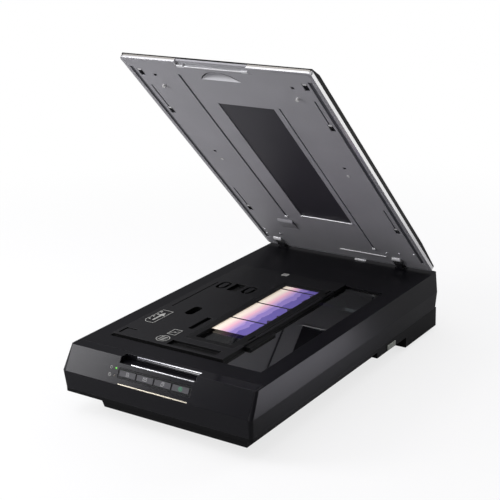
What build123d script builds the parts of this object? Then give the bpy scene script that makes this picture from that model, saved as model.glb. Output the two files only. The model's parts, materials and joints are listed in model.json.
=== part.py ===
from build123d import *
import os
from math import acos, cos, hypot, pi, radians, sin, tan

os.makedirs("parts", exist_ok=True)

# Driving dimensions in millimetres: x to the right, y to the back, z up from the floor

# Case outline
case_width = 280.0
case_depth = 476.0
case_top = 86.0
ridge_height = 56.5
seam_height = 33.0
front_slope_run = 16.5
side_slope_run = 2.5
seam_tuck = 1.8
corner_radius = 4.0
case_wall = 2.5
top_skin = 2.0
shut_line = 0.2
bezel_top_depth = 33.0

# Stepped underside of the lower case
skirt_bottom = 28.5
belly_bottom = 20.0
pan_bottom = 4.0
belly_left_inset = 57.5
belly_ramp = 4.0
belly_right_inset = 10.0
belly_setback = 4.0
belly_back_inset = 178.0
pan_side_inset = 36.0
pan_front_inset = 88.0
rear_block_depth = 95.0
bottom_chamfer = 1.5

# Rubber feet
foot_radius = 8.0
foot_inset = 24.0

# Screws that hold the two case halves together
screw_head_radius = 3.5
screw_head_height = 2.0
screw_shank_radius = 1.5
screw_length = 12.0
screw_boss_radius = 5.0
screw_side_inset = 15.0
screw_front_inset = 38.0
screw_back_inset = 48.0

# Glass and its opening in the case top
opening_side_inset = 27.5
opening_front_inset = 62.0
opening_back_inset = 115.5
glass_thickness = 3.0
glass_margin = 9.0
strip_depth = 8.0
strip_thickness = 0.4

# Front bezel and the buttons on its slope
bezel_side = 3.5
button_length = 24.4
button_height = 7.6
button_pitch = 26.1
button_count = 4
button_row_x = -1.9
button_proud = 0.5
button_cap = 3.1
button_travel = 0.8
button_gap = 0.35
stem_radius = 1.6
switch_gap = 0.3
tray_border = 2.4
tray_recess = 0.3
tray_thickness = 2.7
tray_fit = 0.15
board_thickness = 1.6
board_depth = 9.4
board_border = 2.0
switch_size = 6.0
switch_height = 3.5
post_width = 1.6
light_x = -60.0
light_radius = 1.2
light_proud = 0.3
light_fit = 0.08
power_light_rise = 4.7
error_light_fall = 4.3
accent_left = -52.0
accent_right = 50.0
accent_up = 1.2
accent_height = 1.4
accent_depth = 1.0
accent_proud = 0.2

# Finger grip in the front top edge
grip_left = -57.0
grip_right = 55.0
grip_drop = 7.8
grip_inset = 27.0
grip_depth = 8.0
grip_wall = 2.0
grip_trim_left = -40.0
grip_trim_bar = 1.3
grip_ledge_height = 4.6

# Guide shaft, rail and carriage
shaft_x = -40.0
shaft_height = 34.0
shaft_radius = 4.0
travel_margin = 11.0
running_fit = 0.05
saddle_length = 9.0
saddle_margin = 4.0
rail_inset = 20.5
rail_width = 10.0
rail_thickness = 3.0
rail_top = 33.0
rail_rib = 4.0
carriage_overhang = 5.5
carriage_length = 62.0
carriage_bottom = 42.0
carriage_height = 34.0
carriage_wall = 2.5
carriage_home_inset = 34.5
carriage_end_gap = 5.0
bush_radius = 6.0
bush_length = 10.0
bush_carrier_half = 9.0
bush_carrier_length = 48.0
glide_fit = 0.2
glide_length = 30.0
lamp_bar_depth = 6.0
lamp_bar_height = 6.0
lamp_bar_drop = 3.0
mirror_height = 14.0
mirror_thickness = 2.5
mirror_tilt = 35.0
mirror_count = 3
mirror_pitch = 11.7
inner_fit = 0.3
lens_radius = 8.0
lens_length = 12.0
sensor_board_width = 120.0
sensor_board_height = 22.0

# Belt drive
belt_x = -12.0
belt_height = 34.0
belt_width = 6.0
belt_thickness = 1.0
belt_gap = 0.3
pulley_radius = 7.0
pulley_flange = 1.2
pulley_flange_thickness = 1.0
pulley_pin_radius = 2.0
drive_inset = 34.0
idler_behind = 15.5
idler_base = 16.0
gear_module = 1.0
gear_teeth = 48
pinion_teeth = 12
gear_thickness = 5.0
gear_gap = 1.0
pressure_angle = 20.0
tooth_backlash = 0.24
tooth_clearance = 0.3
flank_steps = 4
motor_radius = 17.0
motor_height = 13.0
motor_plate = 1.5
motor_plate_margin = 4.0
clamp_jaw = 2.4
clamp_length = 20.0

# Boards and sockets at the back
main_board_left_inset = 70.0
main_board_right_inset = 40.0
main_board_setback = 29.0
main_board_gap = 3.0
main_board_rise = 6.0
stand_off = 3.5
socket_y_length = 14.0
usb_x = 20.0
usb_width = 12.0
usb_height = 11.0
usb_wall = 1.7
lamp_socket_x = -20.0
lamp_socket_width = 16.0
lamp_socket_height = 10.0
inlet_inset = 30.0
inlet_width = 11.0
inlet_height = 11.0
inlet_bore_radius = 3.2
inlet_pin_radius = 1.0
inlet_depth = 10.0
socket_fit = 0.3

# Transport lock on the right side
lock_ahead = 45.0
lock_height = 25.0
lock_length = 22.0
lock_pad_height = 6.6
lock_pad = 1.2
lock_neck_length = 9.0
lock_neck_height = 3.0
lock_travel = 12.0
lock_fit = 0.25

# Hinge: posts that slide up out of wells, with the lid on pins
hinge_left_inset = 30.0
hinge_right_inset = 53.0
hinge_back_inset = 10.7
hinge_height = 92.8
post_x = 16.0
post_y = 9.0
post_engaged = 22.0
post_fit = 0.25
post_lift = 18.0
well_wall = 2.0
ear_width = 8.0
ear_radius = 4.8
cheek_width = 4.0
cheek_gap = 0.3
hinge_pin_radius = 2.0
arm_length = 60.0
arm_thickness = 2.0

# Lid, described as it lies when shut and then swung open about the hinge
lid_open = 45.6
lid_side_gap = 3.5
lid_front_gap = 2.7
lid_behind_hinge = 2.0
lid_under = 3.4
lid_corner = 5.0
trim_height = 5.0
trim_width = 4.0
panel_thickness = 2.5
panel_fit = 0.15
cover_edge = 7.0
cover_wall = 2.4
cover_inset = 1.0
cover_front_ramp = 18.0
cover_front_edge = 2.2
cover_back_ramp = 60.0
cover_back_edge = 3.4
plateau_inset = 14.5
plateau_side_slope = 19.0
plateau_front = 70.0
plateau_back = 46.0
plateau_slope = 22.0
plateau_height = 15.0
window_left = -31.0
window_right = 50.5
window_back = 107.5
window_front_inset = 82.6
window_thickness = 2.0
window_recess = 0.8
lamp_margin = 3.0
lamp_height = 6.0
notch_left = -53.0
notch_right = 50.0
notch_depth = 9.5
notch_lip = 3.0
handle_thickness = 2.6
groove_x = 59.5
left_groove_width = 3.4
right_groove_width = 2.2
groove_depth = 1.0
left_groove_back = 99.0
left_groove_front_inset = 26.6
right_groove_back = 40.0
right_groove_front_inset = 79.6
hook_inset = 18.0
hook_width = 7.0
hook_length = 14.0
hook_back = 106.0
hook_middle_inset = 110.6
hook_front_inset = 28.6
hook_tab = 3.0
hook_tab_width = 5.0
guide_length = 55.0
guide_width = 2.2
channel_inset = 1.5
channel_width = 5.5
channel_end = 18.0
tab_recess_left = -81.0
tab_recess_right = -55.0
tab_recess_back = 60.0
tab_recess_front = 86.0
hole_inset = 37.5
hole_size = 4.4
hole_front_inset = 32.6
hole_back = 259.0
scoop_half = 29.0
scoop_depth = 17.0
scoop_front_inset = 32.1
scoop_cut = 3.6
scoop_floor = 1.0
scoop_border = 1.5
rear_slot_left = -2.5
rear_slot_right = 72.5
rear_slot_l = 20.5
rear_slot_height = 2.4
bumper_inset = 39.5
bumper_front_inset = 53.6
bumper_radius = 2.2
bumper_gap = 0.3
peg_l = 240.5
peg_height = 0.5
hinge_notch = 10.0

# Film holder on the glass, its hinged frame and the film
holder_right_inset = 56.5
holder_fit = 0.8
holder_front_gap = 4.0
holder_thickness = 4.6
film_left_inset = 70.0
film_opening_width = 54.0
film_front_inset = 45.0
film_back_inset = 42.5
film_width = 61.5
film_setback = 36.0
film_overlap = 5.0
film_thickness = 0.3
film_fit = 0.3
frame_border = 9.0
frame_thickness = 1.6
frame_fit = 0.35
frame_hinge_inset = 2.6
frame_hinge_drop = 1.0
knuckle_radius = 1.5
knuckle_length = 16.0
knuckle_front_inset = 5.0
knuckle_back_inset = 20.0
knuckle_gap = 0.3
frame_pin_radius = 0.7
pocket_left_inset = 8.0
pocket_right_inset = 7.0
pocket_front_inset = 8.5
pocket_length = 14.5
pocket_floor = 1.0
slot_inset = 11.0
slot_front_inset = 62.0
slot_length = 43.0
slot_width = 7.6
oval_front_inset = 100.0
oval_length = 30.0
oval_width = 13.0
clip_back_inset = 70.5
clip_length = 28.0
clip_width = 16.0
clip_share = 0.237
clip_wall = 4.2
corner_mark = 3.5
corner_mark_inset = 5.0
corner_mark_length = 18.0
corner_mark_depth = 1.8
margin_groove_inset = 8.6
margin_groove_front_inset = 114.0
margin_groove_length = 106.0
margin_groove_width = 1.8
margin_groove_depth = 1.2
rim_groove_inset = 4.0
rim_groove_width = 1.6
rim_groove_depth = 1.4
finger_tab_width = 8.0
finger_tab_front_inset = 51.0
finger_tab_length = 56.0
finger_tab_height = 3.2

# Worked out from the above

case_front = -case_depth / 2
case_back = case_depth / 2
bezel_top_back = case_front + bezel_top_depth
grip_back = case_front + grip_inset
slope_rise = case_top - ridge_height
slope_length = hypot(front_slope_run, slope_rise)
slope_top_y = case_front + front_slope_run
grip_up = slope_length - grip_drop
button_row_up = (accent_up + accent_height + grip_up) / 2
power_light_up = button_row_up + power_light_rise
error_light_up = button_row_up - error_light_fall
slope_plane = Plane(
    origin=(0, case_front, ridge_height), x_dir=(1, 0, 0), z_dir=(0, -slope_rise, front_slope_run)
)
glass_top = case_top - top_skin
glass_bottom = glass_top - glass_thickness
seam_half = case_width / 2 - seam_tuck
seam_front = case_front + seam_tuck
seam_back = case_back - seam_tuck
belly_front = case_front + belly_setback
belly_left = belly_left_inset - case_width / 2
belly_right = case_width / 2 - belly_right_inset
belly_back = case_back - belly_back_inset
pan_half_width = case_width / 2 - pan_side_inset
pan_front = case_front + pan_front_inset
rear_block_front = case_back - rear_block_depth
screw_x = case_width / 2 - screw_side_inset
screw_front_y = case_front + screw_front_inset
screw_back_y = case_back - screw_back_inset
opening_width = case_width - 2 * opening_side_inset
opening_front = case_front + opening_front_inset
opening_back = case_back - opening_back_inset
pan_floor = pan_bottom + case_wall
stem_length = board_depth - switch_height - switch_gap - button_travel - (button_cap - button_proud)
carriage_width = opening_width + 2 * carriage_overhang
carriage_home = opening_back - carriage_home_inset
carriage_travel = carriage_home - carriage_length / 2 - opening_front - carriage_end_gap
rail_x = opening_width / 2 - rail_inset
drive_y = case_front + drive_inset
idler_y = opening_back + idler_behind
shaft_front = (
    carriage_home - carriage_travel - bush_carrier_length / 2 - travel_margin - saddle_length
)
shaft_back = idler_y + idler_base / 2 + travel_margin + saddle_length
post_length = post_engaged + post_lift
main_board_left = main_board_left_inset - case_width / 2
main_board_right = case_width / 2 - main_board_right_inset
main_board_front = rear_block_front + main_board_setback
inlet_x = main_board_right - inlet_inset
lock_y = rear_block_front - lock_ahead
hinge_left = hinge_left_inset - case_width / 2
hinge_right = case_width / 2 - hinge_right_inset
hinge_y = case_back - hinge_back_inset
belly_floor = belly_bottom + case_wall
lid_plane = Plane(
    origin=(0, hinge_y, hinge_height),
    x_dir=(1, 0, 0),
    z_dir=(0, sin(radians(lid_open)), cos(radians(lid_open))),
)
lid_width = case_width - 2 * lid_side_gap
lid_end = hinge_y - case_front - lid_front_gap
lid_length = lid_end + lid_behind_hinge
lid_front = -lid_end
lid_bottom = -lid_under
trim_top = lid_bottom + trim_height
panel_top = lid_bottom + panel_thickness
cover_top = trim_top + cover_edge


def block(x0, x1, y0, y1, z0, z1, mode=Mode.ADD):
    """A box between two corners, in the frame of the piece being built."""
    with Locations(((x0 + x1) / 2, (y0 + y1) / 2, (z0 + z1) / 2)):
        Box(x1 - x0, y1 - y0, z1 - z0, mode=mode)


def bar_x(radius, x0, x1, y, z, mode=Mode.ADD):
    """A round bar along x."""
    with Locations(((x0 + x1) / 2, y, z)):
        Cylinder(radius, x1 - x0, rotation=(0, 90, 0), mode=mode)


def bar_y(radius, x, y0, y1, z, mode=Mode.ADD):
    """A round bar along y."""
    with Locations((x, (y0 + y1) / 2, z)):
        Cylinder(radius, y1 - y0, rotation=(90, 0, 0), mode=mode)


def bar_z(radius, x, y, z0, z1, mode=Mode.ADD):
    """A round bar along z."""
    with Locations((x, y, (z0 + z1) / 2)):
        Cylinder(radius, z1 - z0, mode=mode)


def keep(piece, name):
    """Name a finished piece and write it out."""
    piece.part.label = name
    export_step(piece.part, f"parts/{name}.step")


def case_half(height):
    """Half width of the case skin at a height."""
    if height >= ridge_height:
        return case_width / 2 - side_slope_run * (height - ridge_height) / slope_rise
    return case_width / 2 - seam_tuck * (ridge_height - height) / (ridge_height - seam_height)


def case_ends(height):
    """Front and back of the case skin at a height."""
    if height >= ridge_height:
        return case_front + front_slope_run * (height - ridge_height) / slope_rise, case_back
    tuck = seam_tuck * (ridge_height - height) / (ridge_height - seam_height)
    return case_front + tuck, case_back - tuck


def case_outline(height, inset):
    """The case's outline at a height, drawn in by inset."""
    front, back = case_ends(height)
    with BuildSketch(Plane.XY.offset(height)) as outline:
        with Locations((0, (front + back) / 2)):
            RectangleRounded(
                2 * (case_half(height) - inset), back - front - 2 * inset, corner_radius - inset / 2
            )
    return outline.sketch


def case_block(inset, top, mode):
    """The tapered case, solid, from the seam up to a height."""
    for low, high in ((seam_height, ridge_height), (ridge_height, top)):
        loft([case_outline(low, inset).face(), case_outline(high, inset).face()], ruled=True, mode=mode)


# Case shell, which the upper case and the front bezel are parted from
with BuildPart() as case_shell:
    case_block(0, case_top, Mode.ADD)
    case_block(case_wall, glass_top, Mode.SUBTRACT)

bezel_half = seam_half - bezel_side
grip_floor = case_top - grip_depth

# Upper case: sides, back and top, open over the glass and over the hinge wells
well_fit_x = post_x / 2 + post_fit
well_fit_y = post_y / 2 + post_fit
boss_top = seam_height + screw_length
with BuildPart() as upper_case:
    add(case_shell.part)
    block(
        -bezel_half - shut_line, bezel_half + shut_line, case_front - case_wall, bezel_top_back + shut_line,
        seam_height - case_wall, case_top + case_wall, Mode.SUBTRACT,
    )
    block(
        -opening_width / 2, opening_width / 2, opening_front, opening_back,
        glass_bottom, case_top + case_wall, Mode.SUBTRACT,
    )
    for x in (hinge_left, hinge_right):
        block(
            x - well_fit_x, x + well_fit_x, hinge_y - well_fit_y, hinge_y + well_fit_y,
            glass_bottom, case_top + case_wall, Mode.SUBTRACT,
        )
    for x in (-screw_x, screw_x):
        for y in (screw_front_y, screw_back_y):
            bar_z(screw_boss_radius, x, y, seam_height, boss_top)
            block(
                min(x, x * (case_half(seam_height) - case_wall / 2) / abs(x)),
                max(x, x * (case_half(seam_height) - case_wall / 2) / abs(x)),
                y - case_wall / 2, y + case_wall / 2, seam_height, boss_top,
            )
            bar_z(
                screw_shank_radius + running_fit, x, y, seam_height - case_wall, boss_top - case_wall,
                Mode.SUBTRACT,
            )
keep(upper_case, "upper_case")

# Front bezel: the sloping front and a strip of the top, with the button window and the grip cut in
tray_half = (button_pitch * (button_count - 1) + button_length) / 2 + tray_border
tray_left = button_row_x - tray_half
tray_right = button_row_x + tray_half
tray_low = button_row_up - button_height / 2 - tray_border
tray_high = button_row_up + button_height / 2 + tray_border
with BuildPart() as front_bezel:
    add(case_shell.part)
    block(
        -bezel_half, bezel_half, case_front - case_wall, bezel_top_back, seam_height, case_top,
        Mode.INTERSECT,
    )
    block(
        grip_left, grip_right, slope_top_y - case_wall, grip_back, glass_bottom, case_top + case_wall,
        Mode.SUBTRACT,
    )
    with BuildSketch(slope_plane.offset(-2 * case_wall)):
        with Locations((button_row_x, button_row_up)):
            RectangleRounded(2 * tray_half, tray_high - tray_low, tray_border / 2)
        with Locations((light_x, power_light_up), (light_x, error_light_up)):
            Circle(light_radius + light_fit)
        with Locations(((grip_left + grip_right) / 2, grip_up + slope_length / 2)):
            Rectangle(grip_right - grip_left, slope_length)
    extrude(amount=3 * case_wall, mode=Mode.SUBTRACT)
    with BuildSketch(slope_plane.offset(-accent_depth)):
        with Locations(((accent_left + accent_right) / 2, accent_up)):
            Rectangle(accent_right - accent_left, accent_height)
    extrude(amount=2 * accent_depth, mode=Mode.SUBTRACT)
keep(front_bezel, "front_bezel")

# Accent strip let into the ridge of the bezel
with BuildPart(slope_plane) as accent_strip:
    block(
        accent_left, accent_right, accent_up - accent_height / 2, accent_up + accent_height / 2,
        -accent_depth, accent_proud,
    )
keep(accent_strip, "accent_strip")

# Grip cup: the moulded finger pocket behind the bezel's top edge, clear of the tray's back
tray_reach = (tray_recess + tray_thickness) * slope_length / slope_rise
cup_front = case_ends(grip_floor)[0] + tray_reach + shut_line
cup_end_front = slope_top_y + case_wall
with BuildPart() as grip_cup:
    block(
        grip_left - grip_wall, grip_right + grip_wall, cup_front, grip_back + grip_wall,
        grip_floor - grip_wall, grip_floor,
    )
    block(
        grip_left - grip_wall, grip_right + grip_wall, grip_back, grip_back + grip_wall,
        grip_floor, glass_top,
    )
    for x in (grip_left - grip_wall, grip_right):
        block(x, x + grip_wall, cup_end_front, grip_back, grip_floor, glass_top)
keep(grip_cup, "grip_cup")

# Grip ledge: a gloss strip along the back of the pocket
with BuildPart() as grip_ledge:
    block(
        grip_trim_left, grip_right, grip_back - grip_wall, grip_back,
        case_top - grip_ledge_height, case_top,
    )
keep(grip_ledge, "grip_ledge")

# Grip trim: a bright bar on the bezel's cut edge
with BuildPart(slope_plane) as grip_trim:
    block(
        grip_trim_left, grip_right - grip_wall, grip_up, grip_up + grip_trim_bar,
        -grip_trim_bar, 0,
    )
keep(grip_trim, "grip_trim")

# Button tray with four windows and two end posts that carry the panel board
button_places = [
    button_row_x + button_pitch * (i - (button_count - 1) / 2) for i in range(button_count)
]
tray_back = -tray_recess - tray_thickness
with BuildPart() as button_tray:
    with BuildSketch(slope_plane.offset(-tray_recess)):
        with Locations((button_row_x, button_row_up)):
            RectangleRounded(
                2 * (tray_half - tray_fit), tray_high - tray_low - 2 * tray_fit, tray_border / 2
            )
        with Locations([(x, button_row_up) for x in button_places]):
            Rectangle(button_length + 2 * button_gap, button_height + 2 * button_gap, mode=Mode.SUBTRACT)
    extrude(amount=-tray_thickness)
    with BuildSketch(slope_plane.offset(tray_back)):
        with Locations(
            (tray_left + tray_fit + post_width / 2, button_row_up),
            (tray_right - tray_fit - post_width / 2, button_row_up),
        ):
            Rectangle(post_width, button_height)
    extrude(amount=-(board_depth + tray_back))
keep(button_tray, "button_tray")

# Panel board behind the tray, and the four switches on it
board_left = light_x - light_radius - board_border
board_low = min(tray_low, error_light_up - light_radius - board_border)
board_high = max(tray_high, power_light_up + light_radius + board_border)
with BuildPart(slope_plane) as panel_board:
    block(
        board_left, tray_right + board_border, board_low, board_high,
        -board_depth - board_thickness, -board_depth,
    )
keep(panel_board, "panel_board")

with BuildPart(slope_plane) as button_switches:
    for x in button_places:
        block(
            x - switch_size / 2, x + switch_size / 2, button_row_up - switch_size / 2,
            button_row_up + switch_size / 2, -board_depth, switch_height - board_depth,
        )
keep(button_switches, "button_switches")

# Two light pipes, from the face of the bezel back to the board
for name, up in (("power_light", power_light_up), ("error_light", error_light_up)):
    with BuildPart(slope_plane) as light_pipe:
        bar_z(light_radius, light_x, up, -board_depth, light_proud)
    keep(light_pipe, name)

# Buttons: a cap with softened edges and a stem behind it
button_names = ("document_button", "mail_button", "copy_button", "start_button")
for name, x in zip(button_names, button_places):
    with BuildPart(slope_plane) as button:
        block(
            x - button_length / 2, x + button_length / 2, button_row_up - button_height / 2,
            button_row_up + button_height / 2, button_proud - button_cap, button_proud,
        )
        outward = Axis(slope_plane.origin, slope_plane.z_dir)
        fillet(button.faces().sort_by(outward)[-1].edges(), button_proud)
        cap_back = button_proud - button_cap
        bar_z(stem_radius, x, button_row_up, cap_back - stem_length, cap_back)
    keep(button, name)

# Platen glass, bonded up against the case top, and its white calibration strip
with BuildPart() as platen_glass:
    block(
        -opening_width / 2 - glass_margin, opening_width / 2 + glass_margin,
        opening_front - glass_margin, opening_back + glass_margin, glass_bottom, glass_top,
    )
keep(platen_glass, "platen_glass")

with BuildPart() as calibration_strip:
    block(
        -opening_width / 2, opening_width / 2, opening_back, opening_back + strip_depth,
        glass_bottom - strip_thickness, glass_bottom,
    )
keep(calibration_strip, "calibration_strip")

# Lower case: a stepped tray with saddles for the shaft, a rib for the rail and posts for the board
rear_wall_y = seam_back - case_wall
saddle_half = shaft_radius + saddle_margin
board_back = rear_wall_y - main_board_gap
board_bottom = pan_floor + main_board_rise
board_top = board_bottom + board_thickness
lock_slot_half = (lock_neck_length + lock_travel) / 2 + lock_fit


def screw_seat(x, y):
    """Where a screw head starts: on the floor of the lower case, or half way into the skirt's."""
    if y > rear_block_front:
        return pan_floor
    if belly_left < x < belly_right and y < belly_back:
        return belly_floor
    return skirt_bottom + case_wall / 2


def tray_step(x0, x1, y0, y1, bottom, inset, mode):
    """One step of the lower case, or of its hollow."""
    block(x0 + inset, x1 - inset, y0 + inset, y1 - inset, bottom + inset, seam_height, mode)


def tray_steps(belly_end, inset, mode):
    """The belly, from its left end on, the middle step, the deep pan and the rear block."""
    tray_step(belly_end, belly_right, belly_front, belly_back + 2 * inset, belly_bottom, inset, mode)
    tray_step(-seam_half, seam_half, belly_back, rear_block_front + 2 * inset, belly_bottom, inset, mode)
    tray_step(-seam_half, seam_half, rear_block_front, seam_back, pan_bottom, inset, mode)
    tray_step(
        -pan_half_width, pan_half_width, pan_front, rear_block_front + 2 * inset, pan_bottom, inset, mode
    )


with BuildPart() as lower_case:
    with BuildSketch(Plane.XY.offset(skirt_bottom)):
        RectangleRounded(2 * seam_half, seam_back - seam_front, corner_radius)
    extrude(amount=seam_height - skirt_bottom)
    tray_steps(belly_left, 0, Mode.ADD)
    with BuildSketch(Plane.XZ.offset(-belly_back)):
        with BuildLine():
            Polyline(
                (belly_left, belly_bottom), (belly_left + belly_ramp, belly_bottom),
                (belly_left, skirt_bottom), close=True,
            )
        make_face()
    extrude(amount=belly_back - belly_front, mode=Mode.SUBTRACT)
    lowest = lower_case.faces().filter_by(Axis.Z).sort_by(Axis.Z)[0]
    chamfer(lowest.edges(), bottom_chamfer)
    with BuildSketch(Plane.XY.offset(skirt_bottom + case_wall)):
        RectangleRounded(
            2 * (seam_half - case_wall), seam_back - seam_front - 2 * case_wall,
            corner_radius - case_wall / 2,
        )
    extrude(amount=seam_height - skirt_bottom, mode=Mode.SUBTRACT)
    tray_steps(belly_left + belly_ramp, case_wall, Mode.SUBTRACT)
    for y in (shaft_front, shaft_back - saddle_length):
        base = belly_floor if y < pan_front else pan_floor
        block(
            shaft_x - saddle_half, shaft_x + saddle_half, y, y + saddle_length,
            base - case_wall / 2, shaft_height + saddle_half,
        )
    bar_y(
        shaft_radius + running_fit, shaft_x, shaft_front - case_wall, shaft_back + case_wall, shaft_height,
        Mode.SUBTRACT,
    )
    rib_left = rail_x + (rail_width - rail_rib) / 2
    block(
        rib_left, rib_left + rail_rib, shaft_front, pan_front,
        belly_floor - case_wall / 2, rail_top - rail_thickness,
    )
    block(
        rib_left, rib_left + rail_rib, pan_front, shaft_back,
        pan_floor - case_wall / 2, rail_top - rail_thickness,
    )
    for x in (main_board_left + stand_off, main_board_right - stand_off):
        for y in (main_board_front + stand_off, board_back - stand_off):
            bar_z(stand_off, x, y, pan_floor - case_wall / 2, board_bottom)
    for x, width, height in (
        (usb_x, usb_width, usb_height),
        (lamp_socket_x, lamp_socket_width, lamp_socket_height),
        (inlet_x, inlet_width, inlet_height),
    ):
        block(
            x - width / 2 - socket_fit, x + width / 2 + socket_fit,
            rear_wall_y - case_wall, seam_back + case_wall,
            board_top - socket_fit, board_top + height + socket_fit, Mode.SUBTRACT,
        )
    block(
        seam_half - 2 * case_wall, seam_half + case_wall, lock_y - lock_slot_half, lock_y + lock_slot_half,
        lock_height - lock_neck_height / 2 - lock_fit, lock_height + lock_neck_height / 2 + lock_fit,
        Mode.SUBTRACT,
    )
    for x in (-screw_x, screw_x):
        for y in (screw_front_y, screw_back_y):
            screw_floor = screw_seat(x, y)
            bar_z(screw_boss_radius, x, y, screw_floor - case_wall / 2, seam_height)
            bar_z(
                screw_shank_radius + running_fit, x, y, pan_bottom - case_wall, seam_height + case_wall,
                Mode.SUBTRACT,
            )
            bar_z(
                screw_head_radius + running_fit, x, y, pan_bottom - case_wall,
                screw_floor + screw_head_height, Mode.SUBTRACT,
            )
keep(lower_case, "lower_case")

# Case screws, up through the lower case into the bosses of the upper case
with BuildPart() as case_screws:
    for x in (-screw_x, screw_x):
        for y in (screw_front_y, screw_back_y):
            screw_floor = screw_seat(x, y)
            seat = screw_floor + screw_head_height
            bar_z(screw_head_radius, x, y, seat - screw_head_height, seat)
            bar_z(screw_shank_radius, x, y, seat, boss_top - case_wall - running_fit)
keep(case_screws, "case_screws")

# Rubber feet under the pan and the rear block
with BuildPart() as rubber_feet:
    for x, y in (
        (pan_half_width - foot_inset, pan_front + foot_inset),
        (case_width / 2 - foot_inset, case_back - foot_inset),
    ):
        for side in (-1, 1):
            bar_z(foot_radius, side * x, y, 0, pan_bottom)
keep(rubber_feet, "rubber_feet")

# Transport lock: a pale slider through a slot in the right side
with BuildPart() as transport_lock:
    wall_outer = seam_half + lock_fit
    wall_inner = seam_half - case_wall - lock_fit
    block(
        wall_outer, wall_outer + lock_pad, lock_y - lock_length / 2, lock_y + lock_length / 2,
        lock_height - lock_pad_height / 2, lock_height + lock_pad_height / 2,
    )
    neck_front = lock_y - lock_travel / 2 - lock_neck_length / 2
    block(
        wall_inner, wall_outer, neck_front, neck_front + lock_neck_length,
        lock_height - lock_neck_height / 2, lock_height + lock_neck_height / 2,
    )
    block(
        wall_inner - lock_pad, wall_inner, neck_front, neck_front + lock_neck_length,
        lock_height - lock_neck_height / 2, lock_height + lock_neck_height,
    )
keep(transport_lock, "transport_lock")

# Guide shaft and slide rail
with BuildPart() as guide_shaft:
    bar_y(shaft_radius, shaft_x, shaft_front, shaft_back, shaft_height)
keep(guide_shaft, "guide_shaft")

with BuildPart() as slide_rail:
    block(rail_x, rail_x + rail_width, shaft_front, shaft_back, rail_top - rail_thickness, rail_top)
keep(slide_rail, "slide_rail")

# Carriage: an open trough on a bush carrier, with the light, mirrors, lens and sensor inside it
carriage_half = carriage_width / 2
carriage_front = carriage_home - carriage_length / 2
carriage_back = carriage_home + carriage_length / 2
carriage_top = carriage_bottom + carriage_height
trough_floor = carriage_bottom + carriage_wall
trough_half = carriage_half - carriage_wall
trough_front = carriage_front + carriage_wall
trough_back = carriage_back - carriage_wall
carrier_front = carriage_home - bush_carrier_length / 2
carrier_back = carriage_home + bush_carrier_length / 2
with BuildPart() as carriage_housing:
    block(-carriage_half, carriage_half, carriage_front, carriage_back, carriage_bottom, carriage_top)
    block(-trough_half, trough_half, trough_front, trough_back, trough_floor, carriage_top, Mode.SUBTRACT)
    block(
        shaft_x - bush_carrier_half, shaft_x + bush_carrier_half, carrier_front, carrier_back,
        shaft_height - bush_carrier_half, carriage_bottom,
    )
    bar_y(bush_radius + running_fit, shaft_x, carrier_front, carrier_back, shaft_height, Mode.SUBTRACT)
keep(carriage_housing, "carriage_housing")

with BuildPart() as carriage_bushes:
    for y in (carrier_front, carrier_back - bush_length):
        bar_y(bush_radius, shaft_x, y, y + bush_length, shaft_height)
        bar_y(shaft_radius + running_fit, shaft_x, y, y + bush_length, shaft_height, Mode.SUBTRACT)
keep(carriage_bushes, "carriage_bushes")

with BuildPart() as glide_pad:
    block(
        rail_x, rail_x + rail_width, carriage_home - glide_length / 2, carriage_home + glide_length / 2,
        rail_top + glide_fit, carriage_bottom,
    )
keep(glide_pad, "glide_pad")

with BuildPart() as scan_lamp:
    block(
        -trough_half + inner_fit, trough_half - inner_fit, trough_front, trough_front + lamp_bar_depth,
        carriage_top - lamp_bar_drop - lamp_bar_height, carriage_top - lamp_bar_drop,
    )
keep(scan_lamp, "scan_lamp")

# Fold mirrors: three tilted strips between the ends of the trough
mirror_middle = trough_front + lamp_bar_depth + mirror_height
with BuildPart() as fold_mirrors:
    for i in range(mirror_count):
        tilt = mirror_tilt if i % 2 else -mirror_tilt
        place = mirror_middle + mirror_pitch * (i - (mirror_count - 1) / 2)
        with Locations(Location((0, place, trough_floor + mirror_height), (tilt, 0, 0))):
            Box(2 * (trough_half - inner_fit), mirror_thickness, mirror_height)
keep(fold_mirrors, "fold_mirrors")

sensor_face = trough_back - inner_fit - board_thickness
with BuildPart() as sensor_board:
    block(
        -sensor_board_width / 2, sensor_board_width / 2, sensor_face, sensor_face + board_thickness,
        trough_floor + inner_fit, trough_floor + inner_fit + sensor_board_height,
    )
keep(sensor_board, "sensor_board")

with BuildPart() as lens_barrel:
    bar_y(
        lens_radius, 0, sensor_face - inner_fit - lens_length, sensor_face - inner_fit,
        trough_floor + inner_fit + lens_radius,
    )
keep(lens_barrel, "lens_barrel")

# Belt loop, its pulleys and the gear train; teeth follow the involute of a circle
belt_inner = pulley_radius + belt_gap
belt_outer = belt_inner + belt_thickness
belt_low = belt_height - belt_width / 2
belt_high = belt_height + belt_width / 2
belt_middle_y = (drive_y + idler_y) / 2
belt_span = idler_y - drive_y
with BuildPart() as timing_belt:
    with BuildSketch(Plane.XY.offset(belt_low)):
        with Locations((belt_x, belt_middle_y)):
            SlotCenterToCenter(belt_span, 2 * belt_outer, rotation=90)
            SlotCenterToCenter(belt_span, 2 * belt_inner, rotation=90, mode=Mode.SUBTRACT)
    extrude(amount=belt_width)
keep(timing_belt, "timing_belt")


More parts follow.
